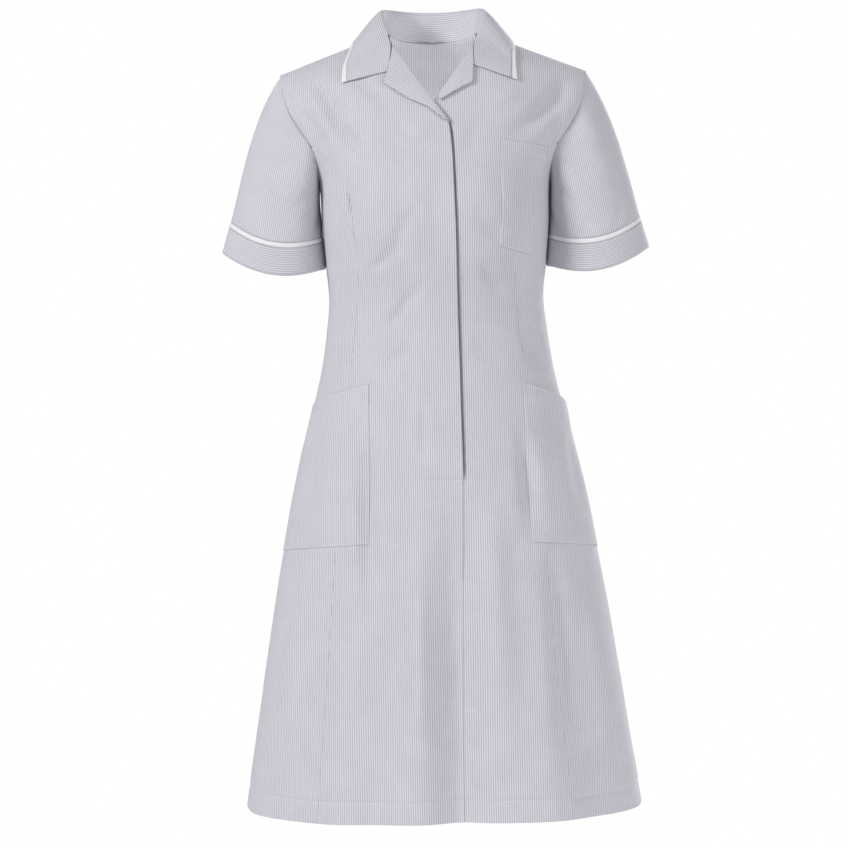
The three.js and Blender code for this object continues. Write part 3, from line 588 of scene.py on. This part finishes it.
def armhole_point(share):
    """A point of the armhole, from the shoulder down the front, and from the underarm up the back."""
    front, back = (at_distance(line, way * lengths(line)[-1])
                   for line, way in zip(ARMHOLE_LINES, (2 * share, 2 - 2 * share)))
    return np.where(share[..., None] <= 0.5, front, back)


def round_sleeve(directions, share):
    quarter = share * 4
    i = np.minimum(3, np.floor(quarter).astype(int))
    t = ease(quarter - i)[..., None]
    return mix(directions[i], directions[(i + 1) % 4], t)


def sleeve_hem(share):
    angle = share * 2 * math.pi
    drop = np.where(share < 0.5, SLEEVE["front_drop"], SLEEVE["back_drop"]) * np.sin(angle) ** 2
    return np.stack([SLEEVE["hem_x"] + SLEEVE["hem_half"] * np.cos(angle), -SLEEVE["hem_depth"] * np.sin(angle),
                     SLEEVE["hem_z"] + SLEEVE["hem_tilt"] * np.cos(angle) - drop], axis=-1)


# Creases of the left sleeve: share of the way round and way down at each end, half width and depth
SLEEVE_CREASES = table(
    "s0 d0 s1 d1 wide deep",
    (0.33, 0.06, 0.16, 0.42, 8, -1.8), (0.40, 0.16, 0.27, 0.62, 7, -1.6), (0.22, 0.05, 0.10, 0.30, 8, 1.2),
    (0.66, 0.08, 0.84, 0.44, 8, -1.8), (0.60, 0.18, 0.72, 0.64, 7, -1.6), (0.47, 0.30, 0.36, 0.80, 7, -1.4),
    (0.08, 0.50, 0.20, 0.86, 9, -1.0), (0.94, 0.46, 0.82, 0.88, 9, -1.0), (0.53, 0.26, 0.62, 0.84, 7, 1.2))
SLEEVE_GIRTH, SLEEVE_LENGTH = 370.0, 230.0


def on_sleeve(down, share):
    """The left sleeve: down from 0 at the armhole to 1 at the hem, share is the way round."""
    down, share = np.broadcast_arrays(down, share)
    start = armhole_point(share)
    start = start + SLEEVE["tuck"] * (unit(ARMHOLE_MIDDLE - start) - np.array([1, 0, 0]))
    end = sleeve_hem(share)
    length = np.linalg.norm(end - start, axis=-1, keepdims=True)
    t = down[..., None]
    return hermite(start, round_sleeve(SLEEVE_LEAVES, share) * length, end,
                   round_sleeve(SLEEVE_ARRIVES, share) * length, t)


def sleeve_rise(down, share, seed):
    x, z = share * SLEEVE_GIRTH, down * SLEEVE_LENGTH
    rise = unevenness(x + 40 * seed, z) * ease((1.02 - down) / 0.2)
    for crease in SLEEVE_CREASES:
        t, off = along_crease(x, z, crease["s0"] * SLEEVE_GIRTH, crease["d0"] * SLEEVE_LENGTH,
                              crease["s1"] * SLEEVE_GIRTH, crease["d1"] * SLEEVE_LENGTH)
        rise = rise + crease["deep"] * (1 + 0.25 * seed) * crease_form(off / crease["wide"], t)
    return rise


def sleeve_length(share):
    return np.linalg.norm(sleeve_hem(share) - on_sleeve(0 * share, share), axis=-1)


def sleeve_band(side, above, below, rows, proud=0.0, turned=(), round_the_arm=False):
    """A band right round the sleeve, from one distance before its hem, or from the armhole, to another."""
    share = steps(0, 1, 96)[None, :]
    length = sleeve_length(share)
    start = 0 if above is None else 1 - above / length
    down = mix(start, 1 - below / length, rows[:, None])
    points = on_sleeve(down, share)
    around = np.concatenate([points[:, -2:-1], points, points[:, 1:2]], axis=1)
    outward = unit(np.cross(around[:, 2:] - around[:, :-2], np.gradient(points, axis=0)))
    rise = proud + sleeve_rise(down, share, 0.5 * (side + 1))
    points = turn_under(points + outward * rise[..., None], -1, turned, **CUFF_TURN)
    points[:, -1] = points[:, 0]
    axis_x = SLEEVE["hem_x"] + (points[..., 2] - SLEEVE["hem_z"]) * SLEEVE["lean"]
    angle = np.unwrap(np.arctan2(-points[..., 1], points[..., 0] - axis_x), axis=1)
    flat_x = angle * SLEEVE_GIRTH / (2 * math.pi)
    fall = (1 - down) * length
    flat = np.stack([fall, flat_x] if round_the_arm else [flat_x, fall], axis=-1)
    return points * np.array([side, 1, 1]), flat, -side


# -------- collar and lapels

def along_panel(at, towards, lift):
    """The way along the front at a point towards another, as long as the distance between the two."""
    near = mix(np.array(at, float), np.array(towards, float), 0.02)
    step = on_panel(*near, lift) - on_panel(*at, lift)
    reach = np.linalg.norm(on_panel(*at) - on_panel(*towards))
    return unit(step) * reach


def collar_row(side, index):
    if index < 0:
        return {name: point * np.array([-1, 1, 1]) for name, point in collar_row(-side, -index).items()}
    last = min(index, COLLAR_ROWS)
    row = COLLAR_END[last - STAND_ROWS - 1] if last > STAND_ROWS else COLLAR[last]
    behind = row.get("on") == "back"
    shift = side * COLLAR_SHIFT * float(ease((last - 4) / 3))
    edge_at = (row["edge"][0] + shift, row["edge"][1])
    edge = np.array([edge_at[0], 0, edge_at[1] + row["lift"]])
    if row.get("on") != "seam":
        edge = on_panel(*edge_at, row["lift"], behind)
    if "gorge" in row:
        gorge = row["gorge"][side]
        top = on_panel(*gorge, GORGE_LIFT)
        return dict(seam=top, top=top, edge=edge, leave=along_panel(gorge, edge_at, GORGE_LIFT),
                    arrive=-along_panel(edge_at, gorge, row["lift"]))
    neck = back_neck_height(row["seam_x"]) if behind else (row["seam_x"] - NECK_HALF) * NECK_SLOPE
    seam = np.array([row["seam_x"], 0.0, 0.0])
    if row["on"] != "seam":
        seam = on_panel(row["seam_x"], neck, 0, behind)
    seam = seam - np.array([0, 0, STAND_TUCK])
    top = np.array(row["roll"], float)
    leave = (edge - top) * np.array([1, 1, 0])
    return dict(seam=seam, top=top, edge=edge, leave=unit(leave) * ROLL_REACH,
                arrive=(edge - top) * 0.9)


def collar_sections(side, positions):
    """The collar's sections at positions round it, each point or way as rows x 3."""
    rows = [collar_row(side, index) for index in range(-1, COLLAR_ROWS + 2)]
    i = np.minimum(COLLAR_ROWS - 1, np.floor(positions).astype(int))
    t = (positions - i)[:, None]
    sections = {}
    for name in rows[0]:
        known = np.array([row[name] for row in rows])
        before, start, end, after = known[i], known[i + 1], known[i + 2], known[i + 3]
        sections[name] = hermite(start, (end - before) / 2, end, (after - start) / 2, t)
    return sections


def on_collar(side, positions, across):
    """Across runs from -1 at the neck seam over 0 at the roll to 1 at the outer edge; rows are positions."""
    s = {name: value[:, None, :] for name, value in collar_sections(side, positions).items()}
    t = across[..., None]
    stand = hermite(s["seam"], s["top"] - s["seam"], s["top"], s["leave"], t + 1)
    leaf = hermite(s["top"], s["leave"], s["edge"], s["arrive"], t)
    return np.where(t < 0, stand, leaf) * np.array([side, 1, 1])


LEAF_DEPTH = 1.04     # how much longer the leaf is than the straight way from roll to edge


def trim_start(side, positions, width):
    s = collar_sections(side, positions)
    return 1 - width / (np.linalg.norm(s["top"] - s["edge"], axis=1) * LEAF_DEPTH)


def collar_flat(points, side, start):
    """The collar's cut: stripes run along it, so its depth is the flat cut's first direction."""
    depth = np.cumsum(np.linalg.norm(np.diff(points, axis=1, prepend=points[:, :1]), axis=-1), axis=1)
    along = np.cumsum(np.linalg.norm(np.diff(points, axis=0, prepend=points[:1]), axis=-1).mean(axis=1))
    return np.stack([depth + start, np.broadcast_to(side * along[:, None], depth.shape)], axis=-1)


def collar_patches(side):
    positions = steps(0, COLLAR_ROWS, 88)
    end = trim_start(side, positions, COLLAR_TRIM + 0.1)[:, None]
    shares = np.concatenate([steps(0, 0.2, 8), steps(0.2, 1, 14)[1:]])[None, :]
    leaf = on_collar(side, positions, shares * end)
    stand_positions = positions[positions <= STAND_ROWS]
    across = np.broadcast_to(np.concatenate([steps(-1, -0.25, 8), steps(-0.25, 0, 8)[1:]]),
                             (len(stand_positions), 17))
    stand = on_collar(side, stand_positions, across)
    return [(leaf, collar_flat(leaf, side, 0), side), (stand, collar_flat(stand, side, -46), side)]


def collar_trim_patch(side):
    positions = steps(0, COLLAR_ROWS, 88)
    start = trim_start(side, positions, COLLAR_TRIM - 0.1)[:, None]
    points = on_collar(side, positions, mix(start, 1, steps(0, 1, 5)[None, :]))
    points = turn_under(points, side, ["first"], **TRIM_TURN)
    return points, collar_flat(points, side, 0), side


def lapel_patch(side, roll, edge, bend):
    down, out = steps(0, 1, 48)[:, None], steps(0, 1, 30)[None, :]
    ends = []
    for line in (roll, edge):
        line = np.array(line, float)
        known = np.linspace(0, 1, len(line))
        ends.append([np.interp(down, known, line[:, axis]) for axis in (0, 1)])
    inwards = bend * 4 * out * (1 - out) * (1 - ease(down * 3))
    x = mix(ends[0][0], ends[1][0], out) - side * inwards
    z = mix(ends[0][1], ends[1][1], out)
    under = fly_lift(turn_at(x, z), z) if side == RIGHT else 0
    belly = LAPEL["belly"] * np.sin(math.pi * out) * (1 - down)
    lift = mix(LAPEL["roll_lift"], LAPEL["edge_lift"], out) + belly
    points = on_panel(x, z, under + lift)
    slope = unit(np.array(roll[-1], float) - np.array(roll[0], float))
    # the upright grain, turned over the roll
    turned = np.array([2 * slope[0] * slope[1], 2 * slope[1] ** 2 - 1])
    flat = np.stack([x * turned[1] - z * turned[0], x * turned[0] + z * turned[1]], axis=-1)
    return points, flat, side


# -------- pockets

def hip_pocket_place(side, down, out):
    """Turn, height and lift of a point of a hip pocket, down from its mouth and out to the side seam."""
    z = mix(mix(*HIP_POCKET["top"], out), mix(*HIP_POCKET["bottom"], out), down)
    inner = turn_at(mix(*HIP_POCKET["inner"][side], down), z)
    outer = side * np.arccos((1.5 / curve(FORM, "front", z)) ** (ROUND / 2))
    gape = HIP_POCKET["gape"][side] * (1 - ease(down * 4)) * ease(out * 1.4)
    belly = HIP_POCKET["belly"] * np.sin(math.pi * down) * np.sin(math.pi * out)
    return mix(inner, outer, out), z, HIP_POCKET["lift"] + gape + belly


def hip_pocket(side):
    down, out = with_edges(steps(0, 1, 46), 205)[:, None], with_edges(steps(0, 1, 30), 100)[None, :]
    turn, z, lift = hip_pocket_place(side, down, out)
    points = on_form(turn, z, lift)
    points = turn_under(points, side, ["first", "top", "bottom", "last"], **EDGE_TURN)
    flat = np.stack([cloth_across(turn, z), -z], axis=-1)
    return points, flat, side


def chest_pocket_place(down, out):
    z = mix(mix(*CHEST_POCKET["top"], out), mix(*CHEST_POCKET["bottom"], out), down)
    x = mix(mix(*CHEST_POCKET["left"], down), mix(*CHEST_POCKET["right"], down), out)
    x = x - CHEST_POCKET["bulge"] * 4 * down * (1 - down) * out
    return x, z, CHEST_POCKET["lift"] + CHEST_POCKET["belly"] * np.sin(math.pi * down) * np.sin(math.pi * out)


def chest_pocket():
    down, out = with_edges(steps(0, 1, 34), 140)[:, None], with_edges(steps(0, 1, 16), 50)[None, :]
    x, z, lift = chest_pocket_place(down, out)
    points = turn_under(on_panel(x, z, lift), 1, ["first", "top", "bottom", "last"], **EDGE_TURN)
    flat = np.stack([cloth_across(turn_at(x, z), z), -z], axis=-1)
    return points, flat, 1


# -------- finishes

class Wire:
    """A value in a material; arithmetic on it adds Math nodes."""

    def __init__(self, finish, socket):
        self.finish, self.socket = finish, socket

    def math(self, operation, *others):
        values = dict(enumerate([self, *others]))
        return self.finish.node("ShaderNodeMath", {"operation": operation}, values)["Value"]

    def __add__(self, other):
        return self.math("ADD", other)

    def __sub__(self, other):
        return self.math("SUBTRACT", other)

    def __mul__(self, other):
        return self.math("MULTIPLY", other)

    __radd__, __rmul__ = __add__, __mul__

    def wrapped(self):
        return self.math("FRACT")

    def size(self):
        return self.math("ABSOLUTE")

    def clipped(self, most=1.0):
        return self.math("MINIMUM", self, most).math("MAXIMUM", 0.0)

    def wave(self):
        return (self * (2 * math.pi)).math("SINE")


class Finish:
    """A material made of nodes."""

    def __init__(self, name):
        self.material = bpy.data.materials.new(name)
        self.material.use_nodes = True
        self.tree = self.material.node_tree
        self.tree.nodes.clear()

    def node(self, kind, settings=None, inputs=None):
        made = self.tree.nodes.new(kind)
        for name, value in (settings or {}).items():
            setattr(made, name, value)
        for name, value in (inputs or {}).items():
            if isinstance(value, Wire):
                self.tree.links.new(value.socket, made.inputs[name])
            else:
                made.inputs[name].default_value = value
        wires = {output.name: Wire(self, output) for output in made.outputs}
        if kind == "ShaderNodeMix":
            wires["colour"] = Wire(self, made.outputs[2])
        return wires

    def colours(self, share, first, second, blend="MIX"):
        """Two colours mixed: sockets 0, 6 and 7 of the Mix node are its share and its two colours."""
        settings = {"data_type": "RGBA", "blend_type": blend}
        return self.node("ShaderNodeMix", settings, {0: share, 6: first, 7: second})["colour"]

    def noise(self, at, scale, detail, roughness, dimensions="3D"):
        made = self.node("ShaderNodeTexNoise", {"noise_dimensions": dimensions},
                         {"Vector": at, "Scale": scale, "Detail": detail, "Roughness": roughness})
        return made["Fac"]

    def bump(self, height, strength, distance):
        made = self.node("ShaderNodeBump", None, {"Strength": strength, "Distance": distance, "Height": height})
        return made["Normal"]

    def finished(self, inputs):
        surface = self.node("ShaderNodeBsdfPrincipled", None, inputs)
        self.node("ShaderNodeOutputMaterial", None, {"Surface": surface["BSDF"]})
        return self.material


def tint(value, blue=1.0):
    return (value, value, value * blue, 1.0)


STRIPE_PITCH = 2.8 * MM
STRIPE_SHARPNESS = 3.0
STRIPE_GROUND, STRIPE_GREY = tint(0.66, 1.06), tint(0.46, 1.10)
THREAD = 0.32 * MM


def threads(finish, along, across, stretch, seed):
    """Uneven threads: fine across them and drawn out along them, about zero."""
    at = finish.node("ShaderNodeCombineXYZ", None,
                     {0: across * (1 / THREAD), 1: along * (1 / (stretch * THREAD)), 2: seed})["Vector"]
    return finish.noise(at, 1.0, 2.0, 0.6) - 0.5


def striped_cloth(name):
    """Polyester and cotton: a white ground with fine lilac-grey stripes woven along the grain."""
    finish = Finish(name)
    cut = finish.node("ShaderNodeUVMap", {"uv_map": "cut"})["UV"]
    parts = finish.node("ShaderNodeSeparateXYZ", None, {0: cut})
    across, along = parts["X"], parts["Y"]
    warp = threads(finish, along, across, 26, 0.0)
    weft = threads(finish, across, along, 26, 7.0)
    wash = finish.noise(cut, 26.0, 3.0, 0.55, "2D") - 0.5
    place = (across * (1 / STRIPE_PITCH) + warp * 0.10).wrapped()
    mask = (((place - 0.5).size() * 2 - 0.5) * STRIPE_SHARPNESS + 0.5).clipped()
    colour = finish.colours(mask, STRIPE_GROUND, STRIPE_GREY)
    tone = (1.0 + warp * 0.24 + weft * 0.20 + wash * 0.10).clipped(1.2)
    shade = finish.node("ShaderNodeCombineXYZ", None, {0: tone, 1: tone, 2: tone})["Vector"]
    colour = finish.colours(1.0, colour, shade, "MULTIPLY")
    weave = (across * (1 / THREAD)).wave() * (along * (1 / THREAD)).wave() * 0.5 + warp + weft
    return finish.finished({"Base Color": colour, "Roughness": 0.82 + 0.2 * warp,
                            "Normal": finish.bump(weave, 0.35, 0.00012),
                            "Specular IOR Level": 0.25, "Sheen Weight": 0.10, "Sheen Roughness": 0.5})


def white_cloth(name, white):
    """Bright white cotton tape or thread, with the fine rib of its weave."""
    finish = Finish(name)
    at = finish.node("ShaderNodeTexCoord")["Object"]
    rib = finish.noise(at, 1 / (2 * THREAD), 2.0, 0.6)
    wash = finish.noise(at, 60.0, 2.0, 0.5)
    tone = (rib * 0.6 + wash * 0.4).clipped()
    colour = finish.colours(tone, tint(white * 0.86, 1.02), tint(white, 1.01))
    return finish.finished({"Base Color": colour, "Roughness": 0.7 + 0.2 * rib,
                            "Normal": finish.bump(rib, 0.3, 0.00015),
                            "Specular IOR Level": 0.3, "Sheen Weight": 0.1})


# -------- stitches

STITCH = dict(pitch=3.0, length=2.4, thick=0.5)
THREAD_LIFT = 0.05    # of a stitch's middle over the cloth
FLY_SEAM = dict(top=(-18, -150), corner=(-15, FLY_END), edge=28.5, tack=19, under=32, end=41)


def stitch_shape():
    """One stitch, lying along X: a short thread with rounded ends."""
    bpy.ops.object.select_all(action="DESELECT")
    bpy.ops.mesh.primitive_uv_sphere_add(segments=6, ring_count=4, radius=0.5)
    mesh = newest().data
    points = np.array([vertex.co for vertex in mesh.vertices])[:, [2, 0, 1]]
    faces = [tuple(face.vertices) for face in mesh.polygons]
    bpy.data.objects.remove(newest())
    points = np.sign(points) * (np.abs(points) * 2) ** np.array([0.6, 1, 1]) / 2
    return points * np.array([STITCH["length"], STITCH["thick"], STITCH["thick"]]), faces


def stitches(name, lines, finish):
    """A row of stitches along each line, given as points and the way that the cloth faces there."""
    shape, faces = stitch_shape()
    points, all_faces = [], []
    for line, facing in lines:
        at = np.arange(STITCH["pitch"] / 2, lengths(line)[-1], STITCH["pitch"])
        centre = at_distance(line, at)
        way = unit(at_distance(line, at + 0.5) - at_distance(line, at - 0.5))
        side = unit(np.cross(at_distance(line, at, facing), way))
        out = np.cross(way, side)
        for c, w, s, o in zip(centre, way, side, out):
            start = len(points) * len(shape)
            points.append(c + shape[:, :1] * w + shape[:, 1:2] * s + shape[:, 2:] * o)
            all_faces += [tuple(start + i for i in face) for face in faces]
    mesh = bpy.data.meshes.new(name)
    mesh.from_pydata((np.concatenate(points) * MM).tolist(), [], all_faces)
    piece = bpy.data.objects.new(name, mesh)
    bpy.context.collection.objects.link(piece)
    mesh.materials.append(finish)
    mesh.shade_smooth()
    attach(piece, "root")
    return piece


def line_on(place, start, end, count=80):
    """A straight line between two places of a panel, and the way it faces; place gives points with a lift."""
    t = steps(0, 1, count)
    a, b = (mix(start[i], end[i], t) for i in (0, 1))
    line = place(a, b, 0.0)
    return line, unit(place(a, b, 1.0) - line)


def on_over_front(x, z, lift):
    return on_panel(x, z, fly_lift(turn_at(x, z), z) + lift + THREAD_LIFT)


def on_under_front(x, z, lift):
    return on_panel(x, z, lift + THREAD_LIFT)


def on_hip_pocket(side):
    def place(down, out, lift):
        turn, z, own = hip_pocket_place(side, down, out)
        return on_form(turn, z, own + lift + THREAD_LIFT)
    return place


def on_chest_pocket(down, out, lift):
    x, z, own = chest_pocket_place(down, out)
    return on_panel(x, z, own + lift + THREAD_LIFT)


def hem_line(behind):
    turns = steps(-math.pi / 2, math.pi / 2, 400) + (math.pi if behind else 0)
    turns = np.where(turns > math.pi, turns - 2 * math.pi, turns)
    z = np.full_like(turns, HEM + HEM_DEPTH)
    _, half, _, across, _ = ring(turns, z)
    lift = 0 if behind else fly_lift(turns, z) * (half * across < over_edge(z))
    line = on_form(turns, z, lift + THREAD_LIFT)
    return line, on_form(turns, z, lift + THREAD_LIFT + 1) - line


def pocket_rows(place, across, ends, down, low):
    """Rows of stitches across a pocket at shares of its height, between two ends, and down it at shares of
    its width, as far as its lowest row."""
    rows = [line_on(place, (share, ends[0]), (share, ends[1])) for share in across]
    return rows + [line_on(place, (0.01, share), (low, share)) for share in down]


def topstitching(thread):
    seam, edge = FLY_SEAM, FLY_SEAM["edge"]
    rows = [line_on(on_over_front, seam["top"], seam["corner"]),
            line_on(on_over_front, seam["corner"], (edge, FLY_END)),
            line_on(on_under_front, (seam["under"], FLY_END), (seam["end"], FLY_END))]
    for rise in (0.6, 1.2):
        rows.append(line_on(on_over_front, (seam["tack"], FLY_END + rise), (edge, FLY_END + rise)))
    stitches("fly_stitching", rows, thread)
    stitches("hem_stitching", [hem_line(False), hem_line(True)], thread)
    for side, word in ((RIGHT, "right"), (LEFT, "left")):
        rows = pocket_rows(on_hip_pocket(side), (0.015, 0.10, 0.99), (0.01, 0.985), (0.018,), 0.99)
        stitches("hip_pocket_stitching_" + word, rows, thread)
    rows = pocket_rows(on_chest_pocket, (0.02, 0.10, 0.987), (0.03, 0.97), (0.035, 0.965), 0.985)
    stitches("chest_pocket_stitching", rows, thread)


# -------- the dress

def make_dress():
    stripes = striped_cloth("fine_stripe")
    white = white_cloth("white_tape", 0.84)
    thread = white_cloth("thread", 0.86)

    def striped(node, patches, wall=WALL):
        piece = place(shell(node + "_cloth", patches, wall, stripes), node, "striped_cloth")

    def taped(node, patches, wall):
        return place(shell(node + "_tape", patches, wall, white), node, "white_cloth")

    striped("front_right", [centre_front(RIGHT, over_edge, FRONT_COLUMNS, fly_lift)])
    striped("front_left", [centre_front(LEFT, under_edge, UNDER_COLUMNS, under_fly)])
    striped("back", [back_half(RIGHT), back_half(LEFT)])
    for side, word in ((RIGHT, "right"), (LEFT, "left")):
        striped("side_front_" + word, [side_front(side)])
        band = sleeve_band(side, CUFF + PIPING, CUFF, steps(0, 1, 5), 0.7, ["top", "bottom"], True)
        piping = taped("cuff_piping_" + word, [band], WALL)
        sleeve = sleeve_band(side, None, CUFF + PIPING + 0.1, steps(0, 1, 50))
        striped("sleeve_" + word, [sleeve])
        band = sleeve_band(side, CUFF - 0.1, 0.0, steps(0, 1, 12), 0.6, ["bottom"], True)
        striped("cuff_" + word, [band], wall=FACED_WALL)
        striped("hip_pocket_" + word, [hip_pocket(side)])
    trim = taped("collar_trim", [collar_trim_patch(RIGHT), collar_trim_patch(LEFT)], FACED_WALL)
    collar = collar_patches(RIGHT) + collar_patches(LEFT)
    striped("collar", collar, wall=FACED_WALL)
    striped("lapel_right", [lapel_patch(**OVER_LAPEL)], wall=FACED_WALL)
    striped("lapel_left", [lapel_patch(**UNDER_LAPEL)], wall=FACED_WALL)
    striped("chest_pocket", [chest_pocket()])
    topstitching(thread)


# -------- studio

CAMERA = dict(distance=4.03, across=-0.0188, height=-0.5094, lens=131.6, roll=0.89)
FLOOR = -1.38         # where a wearer of this dress would stand
WORLD_LIGHT = (0.42, 0.42, 0.436)
# Name, place, what it is aimed at, size and power
LIGHTS = (("key", (-2.9, -2.1, 1.2), (0, 0, -0.45), 0.9, 92),
          ("fill", (2.6, -2.6, -0.2), (0, 0, -0.5), 1.6, 47),
          ("inside", (0, -0.03, -0.19), (0, 0.09, -0.07), 0.09, 0.23),
          ("back", (1.6, 3.2, 0.8), (0, 0, -0.5), 1.6, 105))


def studio():
    scene = bpy.context.scene
    camera = bpy.data.cameras.new("camera")
    camera.lens = CAMERA["lens"]
    camera.sensor_width = 36
    camera.clip_end = 50
    stand = bpy.data.objects.new("camera", camera)
    stand.location = (CAMERA["across"], -CAMERA["distance"], CAMERA["height"])
    stand.rotation_euler = (math.pi / 2, math.radians(CAMERA["roll"]), 0)
    scene.collection.objects.link(stand)
    scene.camera = stand

    world = bpy.data.worlds.new("white studio")
    world.use_nodes = True
    tree = world.node_tree
    # white where it is seen, and dimmer where it lights the dress
    light = tree.nodes.new("ShaderNodeMix")
    light.data_type = "RGBA"
    light.inputs[6].default_value = (*WORLD_LIGHT, 1)
    light.inputs[7].default_value = (1, 1, 1, 1)
    tree.links.new(tree.nodes.new("ShaderNodeLightPath").outputs["Is Camera Ray"], light.inputs[0])
    tree.links.new(light.outputs[2], tree.nodes["Background"].inputs["Color"])
    scene.world = world
    scene.view_settings.view_transform = "Standard"

    for name, place, aim, size, power in LIGHTS:
        light = bpy.data.lights.new(name, "AREA")
        light.shape, light.size, light.energy = "SQUARE", size, power
        lamp = bpy.data.objects.new(name, light)
        lamp.location = place
        x, y, z = np.array(place) - np.array(aim)
        lamp.rotation_euler = (math.atan2(math.hypot(x, y), z), 0, math.atan2(y, x) + math.pi / 2)
        lamp.visible_camera = False
        scene.collection.objects.link(lamp)

    bpy.ops.object.select_all(action="DESELECT")
    bpy.ops.mesh.primitive_circle_add(vertices=96, radius=1.6, fill_type="NGON", location=(0, 0, FLOOR))
    floor = newest()
    floor.name = "floor"
    paint = Finish("pale_floor")
    grain = paint.node("ShaderNodeTexNoise", None, {"Scale": 9.0, "Detail": 3.0})["Fac"]
    tone = paint.colours(grain, tint(0.80), tint(0.84))
    floor.data.materials.append(paint.finished({"Base Color": tone, "Roughness": 0.7}))


studio()
make_dress()
